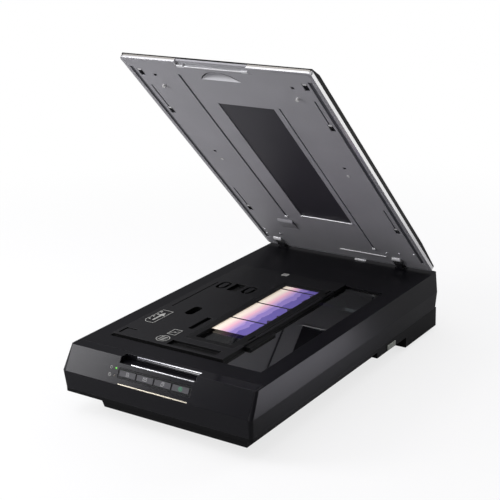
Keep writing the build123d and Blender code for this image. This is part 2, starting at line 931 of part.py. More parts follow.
def gear_points(teeth, middle_angle):
    """Outline of a spur gear with one tooth centred on middle_angle, in degrees."""
    pitch_radius = gear_module * teeth / 2
    base_radius = pitch_radius * cos(radians(pressure_angle))
    root_radius = pitch_radius - gear_module - tooth_clearance
    tip_radius = pitch_radius + gear_module - tooth_clearance / 2
    start_radius = max(base_radius, root_radius)
    at_pitch = tan(radians(pressure_angle)) - radians(pressure_angle)
    half_tooth = (pi * gear_module / 2 - tooth_backlash) / (2 * pitch_radius)
    points = []
    for tooth in range(teeth):
        middle = radians(middle_angle) + 2 * pi * tooth / teeth
        flank = []
        for step in range(flank_steps + 1):
            radius = start_radius + (tip_radius - start_radius) * step / flank_steps
            roll = acos(base_radius / radius)
            flank.append((radius, half_tooth + at_pitch - (tan(roll) - roll)))
        if root_radius < start_radius:
            flank.insert(0, (root_radius, flank[0][1]))
        points += [(r * cos(middle - a), r * sin(middle - a)) for r, a in flank]
        points += [(r * cos(middle + a), r * sin(middle + a)) for r, a in reversed(flank)]
    return points


def spur_gear(x, y, bottom, teeth, middle_angle):
    """A spur gear standing on a height, with its teeth in line with middle_angle."""
    with BuildSketch(Plane.XY.offset(bottom)) as outline:
        with BuildLine():
            Polyline(*[(x + px, y + py) for px, py in gear_points(teeth, middle_angle)], close=True)
        make_face()
    extrude(outline.sketch, amount=gear_thickness)


pulley_low = belt_low - belt_gap - pulley_flange_thickness
pulley_high = belt_high + belt_gap + pulley_flange_thickness
flange_radius = belt_outer + pulley_flange
gear_bottom = pulley_high + gear_gap
gear_distance = gear_module * (gear_teeth + pinion_teeth) / 2
motor_x = belt_x + gear_distance


def belt_pulley(y):
    """A flanged pulley on the belt's centre line, bored for its pin."""
    bar_z(pulley_radius, belt_x, y, pulley_low, pulley_high)
    bar_z(flange_radius, belt_x, y, pulley_low, pulley_low + pulley_flange_thickness)
    bar_z(flange_radius, belt_x, y, pulley_high - pulley_flange_thickness, pulley_high)
    bar_z(pulley_pin_radius + running_fit, belt_x, y, pulley_low, pulley_high, Mode.SUBTRACT)


with BuildPart() as drive_pulley:
    belt_pulley(drive_y)
keep(drive_pulley, "drive_pulley")

with BuildPart() as idler_pulley:
    belt_pulley(idler_y)
keep(idler_pulley, "idler_pulley")

with BuildPart() as reduction_gear:
    spur_gear(belt_x, drive_y, gear_bottom, gear_teeth, 0)
    bar_z(pulley_radius, belt_x, drive_y, pulley_high, gear_bottom)
    bar_z(
        pulley_pin_radius + running_fit, belt_x, drive_y, pulley_high, gear_bottom + gear_thickness,
        Mode.SUBTRACT,
    )
keep(reduction_gear, "reduction_gear")

# Motor with its bracket; the pinion turns on the motor's own shaft
motor_bottom = gear_bottom - gear_gap - motor_plate - motor_height
motor_top = motor_bottom + motor_height
with BuildPart() as motor_pinion:
    spur_gear(motor_x, drive_y, gear_bottom, pinion_teeth, 180 - 180 / pinion_teeth)
    bar_z(pulley_pin_radius, motor_x, drive_y, motor_top, gear_bottom)
keep(motor_pinion, "motor_pinion")

with BuildPart() as motor_body:
    bar_z(motor_radius, motor_x, drive_y, motor_bottom, motor_top)
    bar_z(
        pulley_pin_radius + running_fit, motor_x, drive_y, motor_top - gear_gap, motor_top, Mode.SUBTRACT
    )
keep(motor_body, "motor_body")

plate_far = motor_x + motor_radius + motor_plate_margin
plate_front = drive_y - motor_radius - motor_plate_margin
plate_back = drive_y + motor_radius + motor_plate_margin
with BuildPart() as motor_bracket:
    block(
        belt_x + flange_radius + inner_fit, plate_far, plate_front, plate_back,
        motor_top, motor_top + motor_plate,
    )
    bar_z(
        pulley_pin_radius + 2 * inner_fit, motor_x, drive_y, motor_top, motor_top + motor_plate,
        Mode.SUBTRACT,
    )
    block(plate_far - motor_plate, plate_far, plate_front, plate_back, belly_floor, motor_top)
    block(
        belt_x - flange_radius, plate_far, plate_front, plate_back, belly_floor, belly_floor + motor_plate
    )
    bar_z(motor_radius + inner_fit, motor_x, drive_y, belly_floor, belly_floor + motor_plate, Mode.SUBTRACT)
    bar_z(pulley_pin_radius, belt_x, drive_y, belly_floor + motor_plate, gear_bottom + gear_thickness)
    bar_z(flange_radius, belt_x, drive_y, belly_floor + motor_plate, pulley_low - inner_fit)
keep(motor_bracket, "motor_bracket")

with BuildPart() as idler_bracket:
    block(
        belt_x - idler_base / 2, belt_x + idler_base / 2,
        idler_y - idler_base / 2, idler_y + idler_base / 2, pan_floor, pulley_low - inner_fit,
    )
    bar_z(pulley_pin_radius, belt_x, idler_y, pulley_low - inner_fit, pulley_high)
keep(idler_bracket, "idler_bracket")

# Belt clamp under the carriage: two jaws beside the left run of the belt
strand_inner = belt_x - belt_inner
strand_outer = belt_x - belt_outer
with BuildPart() as belt_clamp:
    for x in (strand_outer - belt_gap - clamp_jaw, strand_inner + belt_gap):
        block(
            x, x + clamp_jaw, carriage_home - clamp_length / 2, carriage_home + clamp_length / 2,
            belt_low, belt_high + belt_gap,
        )
    block(
        strand_outer - belt_gap - clamp_jaw, strand_inner + belt_gap + clamp_jaw,
        carriage_home - clamp_length / 2, carriage_home + clamp_length / 2,
        belt_high + belt_gap, carriage_bottom,
    )
keep(belt_clamp, "belt_clamp")

# Main board and the sockets along the back wall
with BuildPart() as main_board:
    block(main_board_left, main_board_right, main_board_front, board_back, board_bottom, board_top)
keep(main_board, "main_board")

socket_front = seam_back - socket_y_length
with BuildPart() as usb_socket:
    block(
        usb_x - usb_width / 2, usb_x + usb_width / 2, socket_front, seam_back,
        board_top, board_top + usb_height,
    )
    block(
        usb_x - usb_width / 2 + usb_wall, usb_x + usb_width / 2 - usb_wall,
        seam_back - inlet_depth, seam_back,
        board_top + usb_wall, board_top + usb_height - usb_wall, Mode.SUBTRACT,
    )
keep(usb_socket, "usb_socket")

with BuildPart() as lid_lamp_socket:
    block(
        lamp_socket_x - lamp_socket_width / 2, lamp_socket_x + lamp_socket_width / 2,
        socket_front, seam_back, board_top, board_top + lamp_socket_height,
    )
    block(
        lamp_socket_x - lamp_socket_width / 2 + usb_wall, lamp_socket_x + lamp_socket_width / 2 - usb_wall,
        seam_back - inlet_depth, seam_back,
        board_top + usb_wall, board_top + lamp_socket_height - usb_wall, Mode.SUBTRACT,
    )
keep(lid_lamp_socket, "lid_lamp_socket")

inlet_middle = board_top + inlet_height / 2
with BuildPart() as power_inlet:
    block(
        inlet_x - inlet_width / 2, inlet_x + inlet_width / 2, socket_front, seam_back,
        board_top, board_top + inlet_height,
    )
    bar_y(inlet_bore_radius, inlet_x, seam_back - inlet_depth, seam_back, inlet_middle, Mode.SUBTRACT)
    bar_y(inlet_pin_radius, inlet_x, seam_back - inlet_depth, seam_back - usb_wall, inlet_middle)
keep(power_inlet, "power_inlet")

# Hinge wells under the case top, and the posts that slide in them
post_shoulder = hinge_height - ear_radius - 2 * cheek_gap
post_bottom = post_shoulder - post_length
well_bottom = post_bottom - inner_fit
with BuildPart() as hinge_wells:
    for x in (hinge_left, hinge_right):
        block(
            x - well_fit_x - well_wall, x + well_fit_x + well_wall,
            hinge_y - well_fit_y - well_wall, hinge_y + well_fit_y + well_wall,
            well_bottom - well_wall, glass_top,
        )
        block(
            x - well_fit_x, x + well_fit_x, hinge_y - well_fit_y, hinge_y + well_fit_y,
            well_bottom, glass_top, Mode.SUBTRACT,
        )
keep(hinge_wells, "hinge_wells")

for name, x in (("left_hinge_post", hinge_left), ("right_hinge_post", hinge_right)):
    with BuildPart() as hinge_post:
        block(
            x - post_x / 2, x + post_x / 2, hinge_y - post_y / 2, hinge_y + post_y / 2,
            post_bottom, post_shoulder,
        )
        block(
            x - ear_width / 2, x + ear_width / 2, hinge_y - ear_radius, hinge_y + ear_radius,
            post_shoulder - inner_fit, hinge_height,
        )
        bar_x(ear_radius, x - ear_width / 2, x + ear_width / 2, hinge_y, hinge_height)
        bar_x(
            hinge_pin_radius + running_fit, x - ear_width / 2, x + ear_width / 2, hinge_y, hinge_height,
            Mode.SUBTRACT,
        )
        block(
            x - post_x / 2, x + post_x / 2, hinge_y - ear_radius, hinge_y - post_y / 2,
            post_bottom, post_shoulder, Mode.SUBTRACT,
        )
        block(
            x - post_x / 2, x + post_x / 2, hinge_y + post_y / 2, hinge_y + ear_radius,
            post_bottom, post_shoulder, Mode.SUBTRACT,
        )
    keep(hinge_post, name)

pin_half = ear_width / 2 + cheek_gap + cheek_width
with BuildPart() as hinge_pins:
    for x in (hinge_left, hinge_right):
        bar_x(hinge_pin_radius, x - pin_half, x + pin_half, hinge_y, hinge_height)
keep(hinge_pins, "hinge_pins")

# Hinge arms: two cheeks on each pin and a strap along the inside of the lid
with BuildPart(lid_plane) as hinge_arms:
    for x in (hinge_left, hinge_right):
        for inner in (-pin_half, ear_width / 2 + cheek_gap):
            bar_x(ear_radius - inner_fit, x + inner, x + inner + cheek_width, 0, 0)
            block(
                x + inner, x + inner + cheek_width, -hinge_notch + inner_fit, 0,
                panel_top, panel_top + arm_thickness + lid_under,
            )
        block(
            x - pin_half, x + pin_half, -arm_length, -hinge_notch + 2 * inner_fit,
            panel_top, panel_top + arm_thickness,
        )
        bar_x(hinge_pin_radius + running_fit, x - pin_half, x + pin_half, 0, 0, Mode.SUBTRACT)
keep(hinge_arms, "hinge_arms")


def at_distance(distance):
    """A place along the lid, from its distance to the hinge."""
    return -distance


window_front = lid_end - window_front_inset
left_groove_front = lid_end - left_groove_front_inset
right_groove_front = lid_end - right_groove_front_inset
hook_x = lid_width / 2 - hook_inset
hook_middle = lid_end - hook_middle_inset
hook_front = lid_end - hook_front_inset
hole_x = lid_width / 2 - hole_inset
hole_front = lid_end - hole_front_inset
scoop_back = lid_end - scoop_front_inset
bumper_x = lid_width / 2 - bumper_inset
bumper_l = lid_end - bumper_front_inset
plateau_width = lid_width - 2 * plateau_inset
plateau_top_width = plateau_width - 2 * plateau_side_slope
channel_outer = lid_width / 2 - trim_width - panel_fit - channel_inset
notch_half = pin_half + 2 * cheek_gap
lip_y = lid_front + notch_depth


def hinge_cuts(top, margin):
    """Notches in the back edge of a lid piece, where the hinges stand, with a margin round them."""
    half = notch_half + margin
    for x in (hinge_left, hinge_right):
        block(
            x - half, x + half, -hinge_notch - margin, lid_behind_hinge + case_wall,
            lid_bottom - case_wall, top, Mode.SUBTRACT,
        )


# Lid trim: the bright rim round the underside, stepped in at the handle
lid_middle = (lid_front + lid_behind_hinge) / 2
with BuildPart(lid_plane) as lid_trim:
    with BuildSketch(lid_plane.offset(lid_bottom)):
        with Locations((0, lid_middle)):
            RectangleRounded(lid_width, lid_length, lid_corner)
            RectangleRounded(
                lid_width - 2 * trim_width, lid_length - 2 * trim_width, lid_corner - trim_width / 2,
                mode=Mode.SUBTRACT,
            )
    extrude(amount=trim_height)
    block(
        notch_left, notch_right, lip_y, lip_y + notch_lip, lid_bottom, lid_bottom + panel_thickness
    )
    for x in (notch_left - notch_lip, notch_right):
        block(
            x, x + notch_lip, lid_front + trim_width / 2, lip_y + notch_lip,
            lid_bottom, lid_bottom + panel_thickness,
        )
    block(
        notch_left, notch_right, lid_front - trim_width, lip_y, lid_bottom, trim_top, Mode.SUBTRACT
    )
    for x in (hinge_left, hinge_right):
        block(
            x - notch_half - notch_lip, x + notch_half + notch_lip, -hinge_notch - notch_lip,
            lid_behind_hinge - trim_width / 2, lid_bottom, panel_top,
        )
    hinge_cuts(trim_top, 0)
keep(lid_trim, "lid_trim")

# Lid handle: the plate set in the step of the rim
handle_fit = 2 * panel_fit
with BuildPart(lid_plane) as lid_handle:
    block(
        notch_left + handle_fit, notch_right - handle_fit, lid_front + trim_width / 4, lip_y - handle_fit,
        trim_top - handle_thickness, trim_top,
    )
keep(lid_handle, "lid_handle")

# Lid panel: the grey underside with its window, pockets, grooves and finger scoop
groove_bottom = lid_bottom + groove_depth
scoop_radius = (scoop_half**2 + scoop_depth**2) / (2 * scoop_depth)
with BuildPart(lid_plane) as lid_panel:
    with BuildSketch(lid_plane.offset(lid_bottom)):
        with Locations((0, lid_middle)):
            RectangleRounded(
                lid_width - 2 * (trim_width + panel_fit), lid_length - 2 * (trim_width + panel_fit),
                lid_corner - trim_width / 2,
            )
        with Locations(((window_left + window_right) / 2, at_distance((window_front + window_back) / 2))):
            Rectangle(window_right - window_left, window_front - window_back, mode=Mode.SUBTRACT)
        with Locations(((notch_left + notch_right) / 2, lid_front)):
            Rectangle(
                notch_right - notch_left + 2 * (notch_lip + panel_fit),
                2 * (notch_depth + notch_lip + panel_fit), mode=Mode.SUBTRACT,
            )
    extrude(amount=panel_thickness)
    for x, width, back, front in (
        (-groove_x, left_groove_width, left_groove_back, left_groove_front),
        (groove_x, right_groove_width, right_groove_back, right_groove_front),
    ):
        block(
            x - width / 2, x + width / 2, at_distance(front), at_distance(back),
            lid_bottom - groove_depth, groove_bottom, Mode.SUBTRACT,
        )
    for side in (-1, 1):
        for distance in (hook_back, hook_middle, hook_front):
            block(
                side * hook_x - hook_width / 2, side * hook_x + hook_width / 2,
                at_distance(distance) - hook_length / 2, at_distance(distance) + hook_length / 2,
                lid_bottom - groove_depth, panel_top - groove_depth / 2, Mode.SUBTRACT,
            )
        for distance in (hook_back, hook_middle):
            block(
                side * hook_x - guide_width / 2, side * hook_x + guide_width / 2,
                at_distance(distance + guide_length), at_distance(distance),
                lid_bottom - groove_depth, groove_bottom, Mode.SUBTRACT,
            )
        block(
            side * (channel_outer - channel_width / 2) - channel_width / 2,
            side * (channel_outer - channel_width / 2) + channel_width / 2,
            at_distance(lid_end - channel_end), at_distance(channel_end),
            lid_bottom - groove_depth, groove_bottom, Mode.SUBTRACT,
        )
        for distance in (hole_back, hole_front):
            block(
                side * hole_x - hole_size / 2, side * hole_x + hole_size / 2,
                at_distance(distance) - hole_size / 2, at_distance(distance) + hole_size / 2,
                lid_bottom - groove_depth, panel_top + groove_depth, Mode.SUBTRACT,
            )
    block(
        -scoop_half - scoop_border, scoop_half + scoop_border,
        at_distance(scoop_back + scoop_depth + scoop_border), at_distance(scoop_back - scoop_border),
        panel_top - groove_depth, lid_bottom + scoop_cut + scoop_floor,
    )
    with BuildSketch(lid_plane.offset(lid_bottom)):
        with Locations((0, at_distance(scoop_back) - scoop_depth + scoop_radius)):
            Circle(scoop_radius)
        with Locations((0, at_distance(scoop_back) + scoop_radius)):
            Rectangle(2 * scoop_radius, 2 * scoop_radius, mode=Mode.SUBTRACT)
    extrude(amount=scoop_cut, mode=Mode.SUBTRACT)
    block(
        rear_slot_left, rear_slot_right, at_distance(rear_slot_l) - rear_slot_height / 2,
        at_distance(rear_slot_l) + rear_slot_height / 2,
        lid_bottom - groove_depth, panel_top + groove_depth, Mode.SUBTRACT,
    )
    block(
        tab_recess_left, tab_recess_right, at_distance(tab_recess_front), at_distance(tab_recess_back),
        lid_bottom - groove_depth, groove_bottom, Mode.SUBTRACT,
    )
    hinge_cuts(panel_top, notch_lip + panel_fit)
keep(lid_panel, "lid_panel")

# Panel hooks: small bright tabs at the front end of each pocket, for a mat to hang on
with BuildPart(lid_plane) as panel_hooks:
    for side in (-1, 1):
        for distance in (hook_back, hook_middle, hook_front):
            pocket_end = at_distance(distance) - hook_length / 2 + inner_fit
            block(
                side * hook_x - hook_tab_width / 2, side * hook_x + hook_tab_width / 2,
                pocket_end, pocket_end + hook_tab, lid_bottom, panel_top - groove_depth / 2,
            )
keep(panel_hooks, "panel_hooks")

# Lamp window in the panel, and the film lamp behind it
with BuildPart(lid_plane) as lamp_window:
    block(
        window_left + panel_fit, window_right - panel_fit,
        at_distance(window_front) + panel_fit, at_distance(window_back) - panel_fit,
        lid_bottom + window_recess, lid_bottom + window_recess + window_thickness,
    )
keep(lamp_window, "lamp_window")

lamp_bottom = max(panel_top, lid_bottom + window_recess + window_thickness)
with BuildPart(lid_plane) as film_lamp:
    block(
        window_left - lamp_margin, window_right + lamp_margin,
        at_distance(window_front) - lamp_margin, at_distance(window_back) + lamp_margin,
        lamp_bottom, lamp_bottom + lamp_height,
    )
keep(film_lamp, "film_lamp")

# Bumpers at the front corners and small pegs further back, fixed to the panel
bumper_length = hinge_height + lid_bottom - case_top - bumper_gap
with BuildPart(lid_plane) as lid_bumpers:
    for side in (-1, 1):
        bar_z(bumper_radius, side * bumper_x, at_distance(bumper_l), lid_bottom - bumper_length, lid_bottom)
        bar_z(bumper_radius, side * bumper_x, at_distance(peg_l), lid_bottom - peg_height, lid_bottom)
keep(lid_bumpers, "lid_bumpers")


def ramp_end(edge, ramp, inset):
    """Where a ramp of the cover starts, in from the end of the lid, and its height there."""
    start = max(inset, inset + ramp * (inset - edge) / (cover_edge - edge))
    return start, edge + (cover_edge - edge) * start / ramp - inset


def cover_shape(inset, mode):
    """The lid cover's edge with ramps at both ends, and the raised plateau on it, drawn in by inset."""
    half = lid_width / 2 - cover_inset - inset
    cover_front = lid_front + cover_inset
    cover_back = lid_behind_hinge - cover_inset
    front_start, front_height = ramp_end(cover_front_edge, cover_front_ramp, inset)
    back_start, back_height = ramp_end(cover_back_edge, cover_back_ramp, inset)
    side_plane = Plane(lid_plane.origin, x_dir=lid_plane.y_dir, z_dir=lid_plane.x_dir)
    with BuildSketch(side_plane.offset(-half)) as edge:
        with BuildLine():
            Polyline(
                (cover_front + front_start, trim_top),
                (cover_back - back_start, trim_top),
                (cover_back - back_start, trim_top + back_height),
                (cover_back - cover_back_ramp, cover_top - inset),
                (cover_front + cover_front_ramp, cover_top - inset),
                (cover_front + front_start, trim_top + front_height),
                close=True,
            )
        make_face()
    extrude(edge.sketch, amount=2 * half, mode=mode)
    low_front = lid_front + plateau_front + inset
    low_back = -plateau_back - inset
    layers = []
    for height, width, draw in (
        (cover_top - inset - inner_fit, plateau_width, 0),
        (cover_top + plateau_height - inset, plateau_top_width, plateau_slope),
    ):
        with BuildSketch(lid_plane.offset(height)) as layer:
            with Locations((0, (low_front + low_back) / 2)):
                RectangleRounded(width - 2 * inset, low_back - low_front - 2 * draw, lid_corner)
        layers.append(layer.sketch.face())
    loft(layers, ruled=True, mode=mode)


# Lid cover: the outer shell, hollow, standing on the rim
with BuildPart(lid_plane) as lid_cover:
    cover_shape(0, Mode.ADD)
    cover_shape(cover_wall, Mode.SUBTRACT)
    hinge_cuts(cover_top, 0)
keep(lid_cover, "lid_cover")

# Film holder plate: a black tray on the left of the glass
holder_left = -opening_width / 2 + holder_fit
holder_right = opening_width / 2 - holder_right_inset
holder_front = opening_front + holder_front_gap
holder_back = opening_back - holder_fit
holder_bottom = glass_top
holder_top = holder_bottom + holder_thickness
film_left = holder_right - film_left_inset
film_right = film_left + film_opening_width
film_opening_front = opening_front + film_front_inset
film_opening_back = opening_back - film_back_inset
film_front = film_opening_front + film_setback
film_middle = (film_left + film_right) / 2
frame_left = film_left - frame_border
frame_right = film_right + frame_border
frame_front = film_opening_front - frame_border
frame_back = film_opening_back + frame_border
frame_bottom = holder_top - frame_thickness
film_bottom = frame_bottom - film_thickness - film_fit / 3
film_back = film_opening_back + film_overlap
axis_z = holder_top - frame_hinge_drop
frame_hinge_x = holder_right - frame_hinge_inset
knuckle_room = knuckle_radius + frame_fit
knuckle_places = (film_opening_front + knuckle_front_inset, film_opening_back - knuckle_back_inset)
margin_middle = (holder_left + frame_left) / 2
clip_spread = clip_share * (frame_left - holder_left)
clip_back = opening_back - clip_back_inset
clip_front = clip_back - clip_length
oval_front = opening_front + oval_front_inset
slot_x = frame_left - slot_inset
slot_front = opening_front + slot_front_inset
pocket_front = opening_front + pocket_front_inset
margin_groove_left = holder_left + margin_groove_inset
margin_groove_front = opening_front + margin_groove_front_inset
finger_tab_front = opening_front + finger_tab_front_inset
with BuildPart() as film_holder_plate:
    block(holder_left, holder_right, holder_front, holder_back, holder_bottom, holder_top)
    block(
        frame_left - frame_fit, frame_right + frame_fit, frame_front - frame_fit, frame_back + frame_fit,
        frame_bottom, holder_top + case_wall, Mode.SUBTRACT,
    )
    block(
        film_middle - film_width / 2 - film_fit, film_middle + film_width / 2 + film_fit,
        film_opening_front, film_back + film_fit, film_bottom, holder_top, Mode.SUBTRACT,
    )
    block(
        film_left, film_right, film_opening_front, film_opening_back, holder_bottom - case_wall, holder_top,
        Mode.SUBTRACT,
    )
    for y in knuckle_places:
        block(
            frame_right, holder_right + case_wall, y - knuckle_gap, y + 2 * knuckle_length + knuckle_gap,
            axis_z - knuckle_room, holder_top + case_wall, Mode.SUBTRACT,
        )
        block(
            frame_hinge_x - knuckle_radius, frame_hinge_x + knuckle_radius,
            y + knuckle_length + knuckle_gap, y + 2 * knuckle_length,
            axis_z - knuckle_room - inner_fit, axis_z,
        )
        bar_y(
            knuckle_radius, frame_hinge_x, y + knuckle_length + knuckle_gap, y + 2 * knuckle_length,
            axis_z,
        )
        bar_y(
            frame_pin_radius + running_fit, frame_hinge_x, y + knuckle_length, y + 2 * knuckle_length,
            axis_z, Mode.SUBTRACT,
        )
    block(
        frame_left - pocket_left_inset, frame_right - pocket_right_inset,
        pocket_front, pocket_front + pocket_length,
        holder_bottom + pocket_floor, holder_top + case_wall, Mode.SUBTRACT,
    )
    block(
        slot_x - slot_width / 2, slot_x + slot_width / 2, slot_front, slot_front + slot_length,
        holder_bottom + pocket_floor, holder_top + case_wall, Mode.SUBTRACT,
    )
    with BuildSketch(Plane.XY.offset(holder_bottom)):
        with Locations((margin_middle, oval_front + oval_length / 2)):
            SlotOverall(oval_length, oval_width, rotation=90)
    extrude(amount=holder_thickness, mode=Mode.SUBTRACT)
    for side in (-1, 1):
        with BuildSketch(Plane.XY.offset(holder_bottom + pocket_floor)):
            with Locations((margin_middle + side * clip_spread, (clip_front + clip_back) / 2)):
                SlotOverall(clip_length, clip_width, rotation=90)
                SlotOverall(
                    clip_length - 2 * clip_wall, clip_width - 2 * clip_wall, rotation=90, mode=Mode.SUBTRACT
                )
        extrude(amount=holder_thickness, mode=Mode.SUBTRACT)
    block(
        margin_middle - clip_width / 2, margin_middle + clip_width / 2, clip_front, clip_back,
        holder_bottom + pocket_floor, holder_top + case_wall, Mode.SUBTRACT,
    )
    mark_left = holder_left + corner_mark_inset
    mark_front = holder_front + corner_mark_inset
    for width, length in ((corner_mark, corner_mark_length), (corner_mark_length, corner_mark)):
        block(
            mark_left, mark_left + width,
            mark_front + corner_mark_length - length, mark_front + corner_mark_length,
            holder_top - corner_mark_depth, holder_top + case_wall, Mode.SUBTRACT,
        )
    block(
        margin_groove_left, margin_groove_left + margin_groove_width,
        margin_groove_front, margin_groove_front + margin_groove_length,
        holder_top - margin_groove_depth, holder_top + case_wall, Mode.SUBTRACT,
    )
    block(
        holder_right - rim_groove_inset - rim_groove_width, holder_right - rim_groove_inset,
        knuckle_places[0] + 2 * knuckle_length + knuckle_radius, knuckle_places[1] - knuckle_radius,
        holder_top - rim_groove_depth, holder_top + case_wall, Mode.SUBTRACT,
    )
    block(
        holder_right - knuckle_radius, holder_right + finger_tab_width,
        finger_tab_front, finger_tab_front + finger_tab_length,
        holder_bottom, holder_bottom + finger_tab_height - knuckle_radius,
    )
    block(
        holder_right, holder_right + finger_tab_width,
        finger_tab_front, finger_tab_front + finger_tab_length,
        holder_bottom, holder_bottom + finger_tab_height,
    )
keep(film_holder_plate, "film_holder_plate")

# Film frame: the hinged cover that holds the film flat, with a knuckle at each hinge
with BuildPart() as film_frame:
    block(frame_left, frame_right, frame_front, frame_back, frame_bottom, holder_top)
    block(
        film_left, film_right, film_opening_front, film_opening_back,
        frame_bottom, holder_top, Mode.SUBTRACT,
    )
    for y in knuckle_places:
        block(
            frame_right - inner_fit, frame_hinge_x, y, y + knuckle_length, frame_bottom, holder_top
        )
        bar_y(knuckle_radius, frame_hinge_x, y, y + knuckle_length, axis_z)
        bar_y(
            frame_pin_radius + running_fit, frame_hinge_x, y, y + knuckle_length, axis_z, Mode.SUBTRACT
        )
keep(film_frame, "film_frame")

with BuildPart() as frame_pins:
    for y in knuckle_places:
        bar_y(frame_pin_radius, frame_hinge_x, y, y + 2 * knuckle_length, axis_z)
keep(frame_pins, "frame_pins")

# Film strip, resting on the ledges of the plate
with BuildPart() as film_strip:
    block(
        film_middle - film_width / 2, film_middle + film_width / 2, film_front, film_back,
        film_bottom, film_bottom + film_thickness,
    )
keep(film_strip, "film_strip")
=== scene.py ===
# %% [markdown]
# # A flatbed photo scanner with its lid open
# The frame holds the scanner as its maker would build it: 60 kinds of piece, each at its real size.
# This lesson gives every piece its finish and adds the small things that a plain solid leaves out:
# printed signs, screw heads, a moulded scoop, a rounded grip rail. The frame is loaded first, because
# everything here is placed on it, in metres.

# %% Load the frame
import json
import math

import bmesh
import bpy
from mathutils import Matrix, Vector

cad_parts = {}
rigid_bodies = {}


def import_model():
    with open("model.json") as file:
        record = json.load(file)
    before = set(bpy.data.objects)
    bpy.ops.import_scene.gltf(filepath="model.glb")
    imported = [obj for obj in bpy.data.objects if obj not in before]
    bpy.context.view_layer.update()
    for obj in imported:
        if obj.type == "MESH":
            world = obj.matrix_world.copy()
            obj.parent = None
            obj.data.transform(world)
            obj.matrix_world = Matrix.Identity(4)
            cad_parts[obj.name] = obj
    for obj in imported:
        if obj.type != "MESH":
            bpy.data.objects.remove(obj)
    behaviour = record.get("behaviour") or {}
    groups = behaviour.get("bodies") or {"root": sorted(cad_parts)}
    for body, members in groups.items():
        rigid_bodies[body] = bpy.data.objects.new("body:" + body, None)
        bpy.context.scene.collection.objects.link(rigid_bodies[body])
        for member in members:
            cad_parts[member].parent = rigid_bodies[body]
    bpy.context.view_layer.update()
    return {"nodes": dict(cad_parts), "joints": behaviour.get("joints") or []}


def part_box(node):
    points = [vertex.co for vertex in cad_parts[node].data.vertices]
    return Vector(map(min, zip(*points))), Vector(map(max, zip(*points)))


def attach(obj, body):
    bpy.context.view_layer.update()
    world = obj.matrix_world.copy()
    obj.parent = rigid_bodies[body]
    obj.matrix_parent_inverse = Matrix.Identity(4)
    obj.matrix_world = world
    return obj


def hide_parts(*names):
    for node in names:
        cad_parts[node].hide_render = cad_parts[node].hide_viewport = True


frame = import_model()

nodes = frame["nodes"]
scene_objects = bpy.context.scene.collection.objects

# %% [markdown]
# ## Camera
# The photograph was taken from the front right, about 1.6 metres away and a little above the lid's middle.
# A long lens keeps the edges of the case nearly parallel, so its focal length matters as much as its place.
# Both were found by matching corners of the case; the small second angle is the camera's own slight roll.

# %% Camera
lens = bpy.data.cameras.new("photo_camera")
lens.sensor_width = 36.0
lens.lens = 87.43
camera = bpy.data.objects.new("photo_camera", lens)
camera.location = (0.82622, -1.23990, 0.66172)
camera.rotation_euler = [math.radians(angle) for angle in (71.566, 1.527, 33.731)]
scene_objects.link(camera)
bpy.context.scene.camera = camera
bpy.context.scene.view_settings.view_transform = "Standard"
print("camera", [round(v, 3) for v in camera.location], "lens", lens.lens)

# %% [markdown]
# ## Writing shaders as sums
# A node tree is easier to read as an expression than as a drawing. `Shade` wraps one socket and turns plus,
# minus, times and divide into Math nodes, with a plain number on either side. The nodes could be wired by
# hand instead, but a finish of five sums would then fill a page.

# %% Sums of sockets
def both_ways(operation):
    """A sum with the socket on its left, and the same sum with the socket on its right."""
    def plain(self, other):
        return self.maths(operation, self, other)

    def reflected(self, other):
        return self.maths(operation, other, self)

    return plain, reflected


class Shade:
    """A socket that can stand in a Python expression."""

    __add__, __radd__ = both_ways("ADD")
    __sub__, __rsub__ = both_ways("SUBTRACT")
    __mul__, __rmul__ = both_ways("MULTIPLY")
    __truediv__, __rtruediv__ = both_ways("DIVIDE")

    def __init__(self, recipe, socket):
        self.recipe = recipe
        self.socket = socket

    def maths(self, operation, first, second, clamp=False):
        settings = {"operation": operation, "use_clamp": clamp}
        return self.recipe.add("ShaderNodeMath", settings, {0: first, 1: second})

    def clamped(self):
        return self.maths("ADD", self, 0.0, clamp=True)

    def rise(self, low, high):
        """Smoothly from 0 at low to 1 at high."""
        sockets = {"Value": self, "From Min": low, "From Max": high}
        return self.recipe.add("ShaderNodeMapRange", {"interpolation_type": "SMOOTHSTEP"}, sockets)

    def band(self, low, high, soft):
        """1 between low and high, with soft edges."""
        return self.rise(low - soft, low + soft) * (1 - self.rise(high - soft, high + soft))


print("sockets add, subtract, multiply and divide")

# %% [markdown]
# ## One way to add any node
# `Recipe` wraps a tree and has one method, `add`, that makes any node. Its settings are set first, because
# they decide which sockets it has; then its sockets take values or links. The rest are short forms of it.

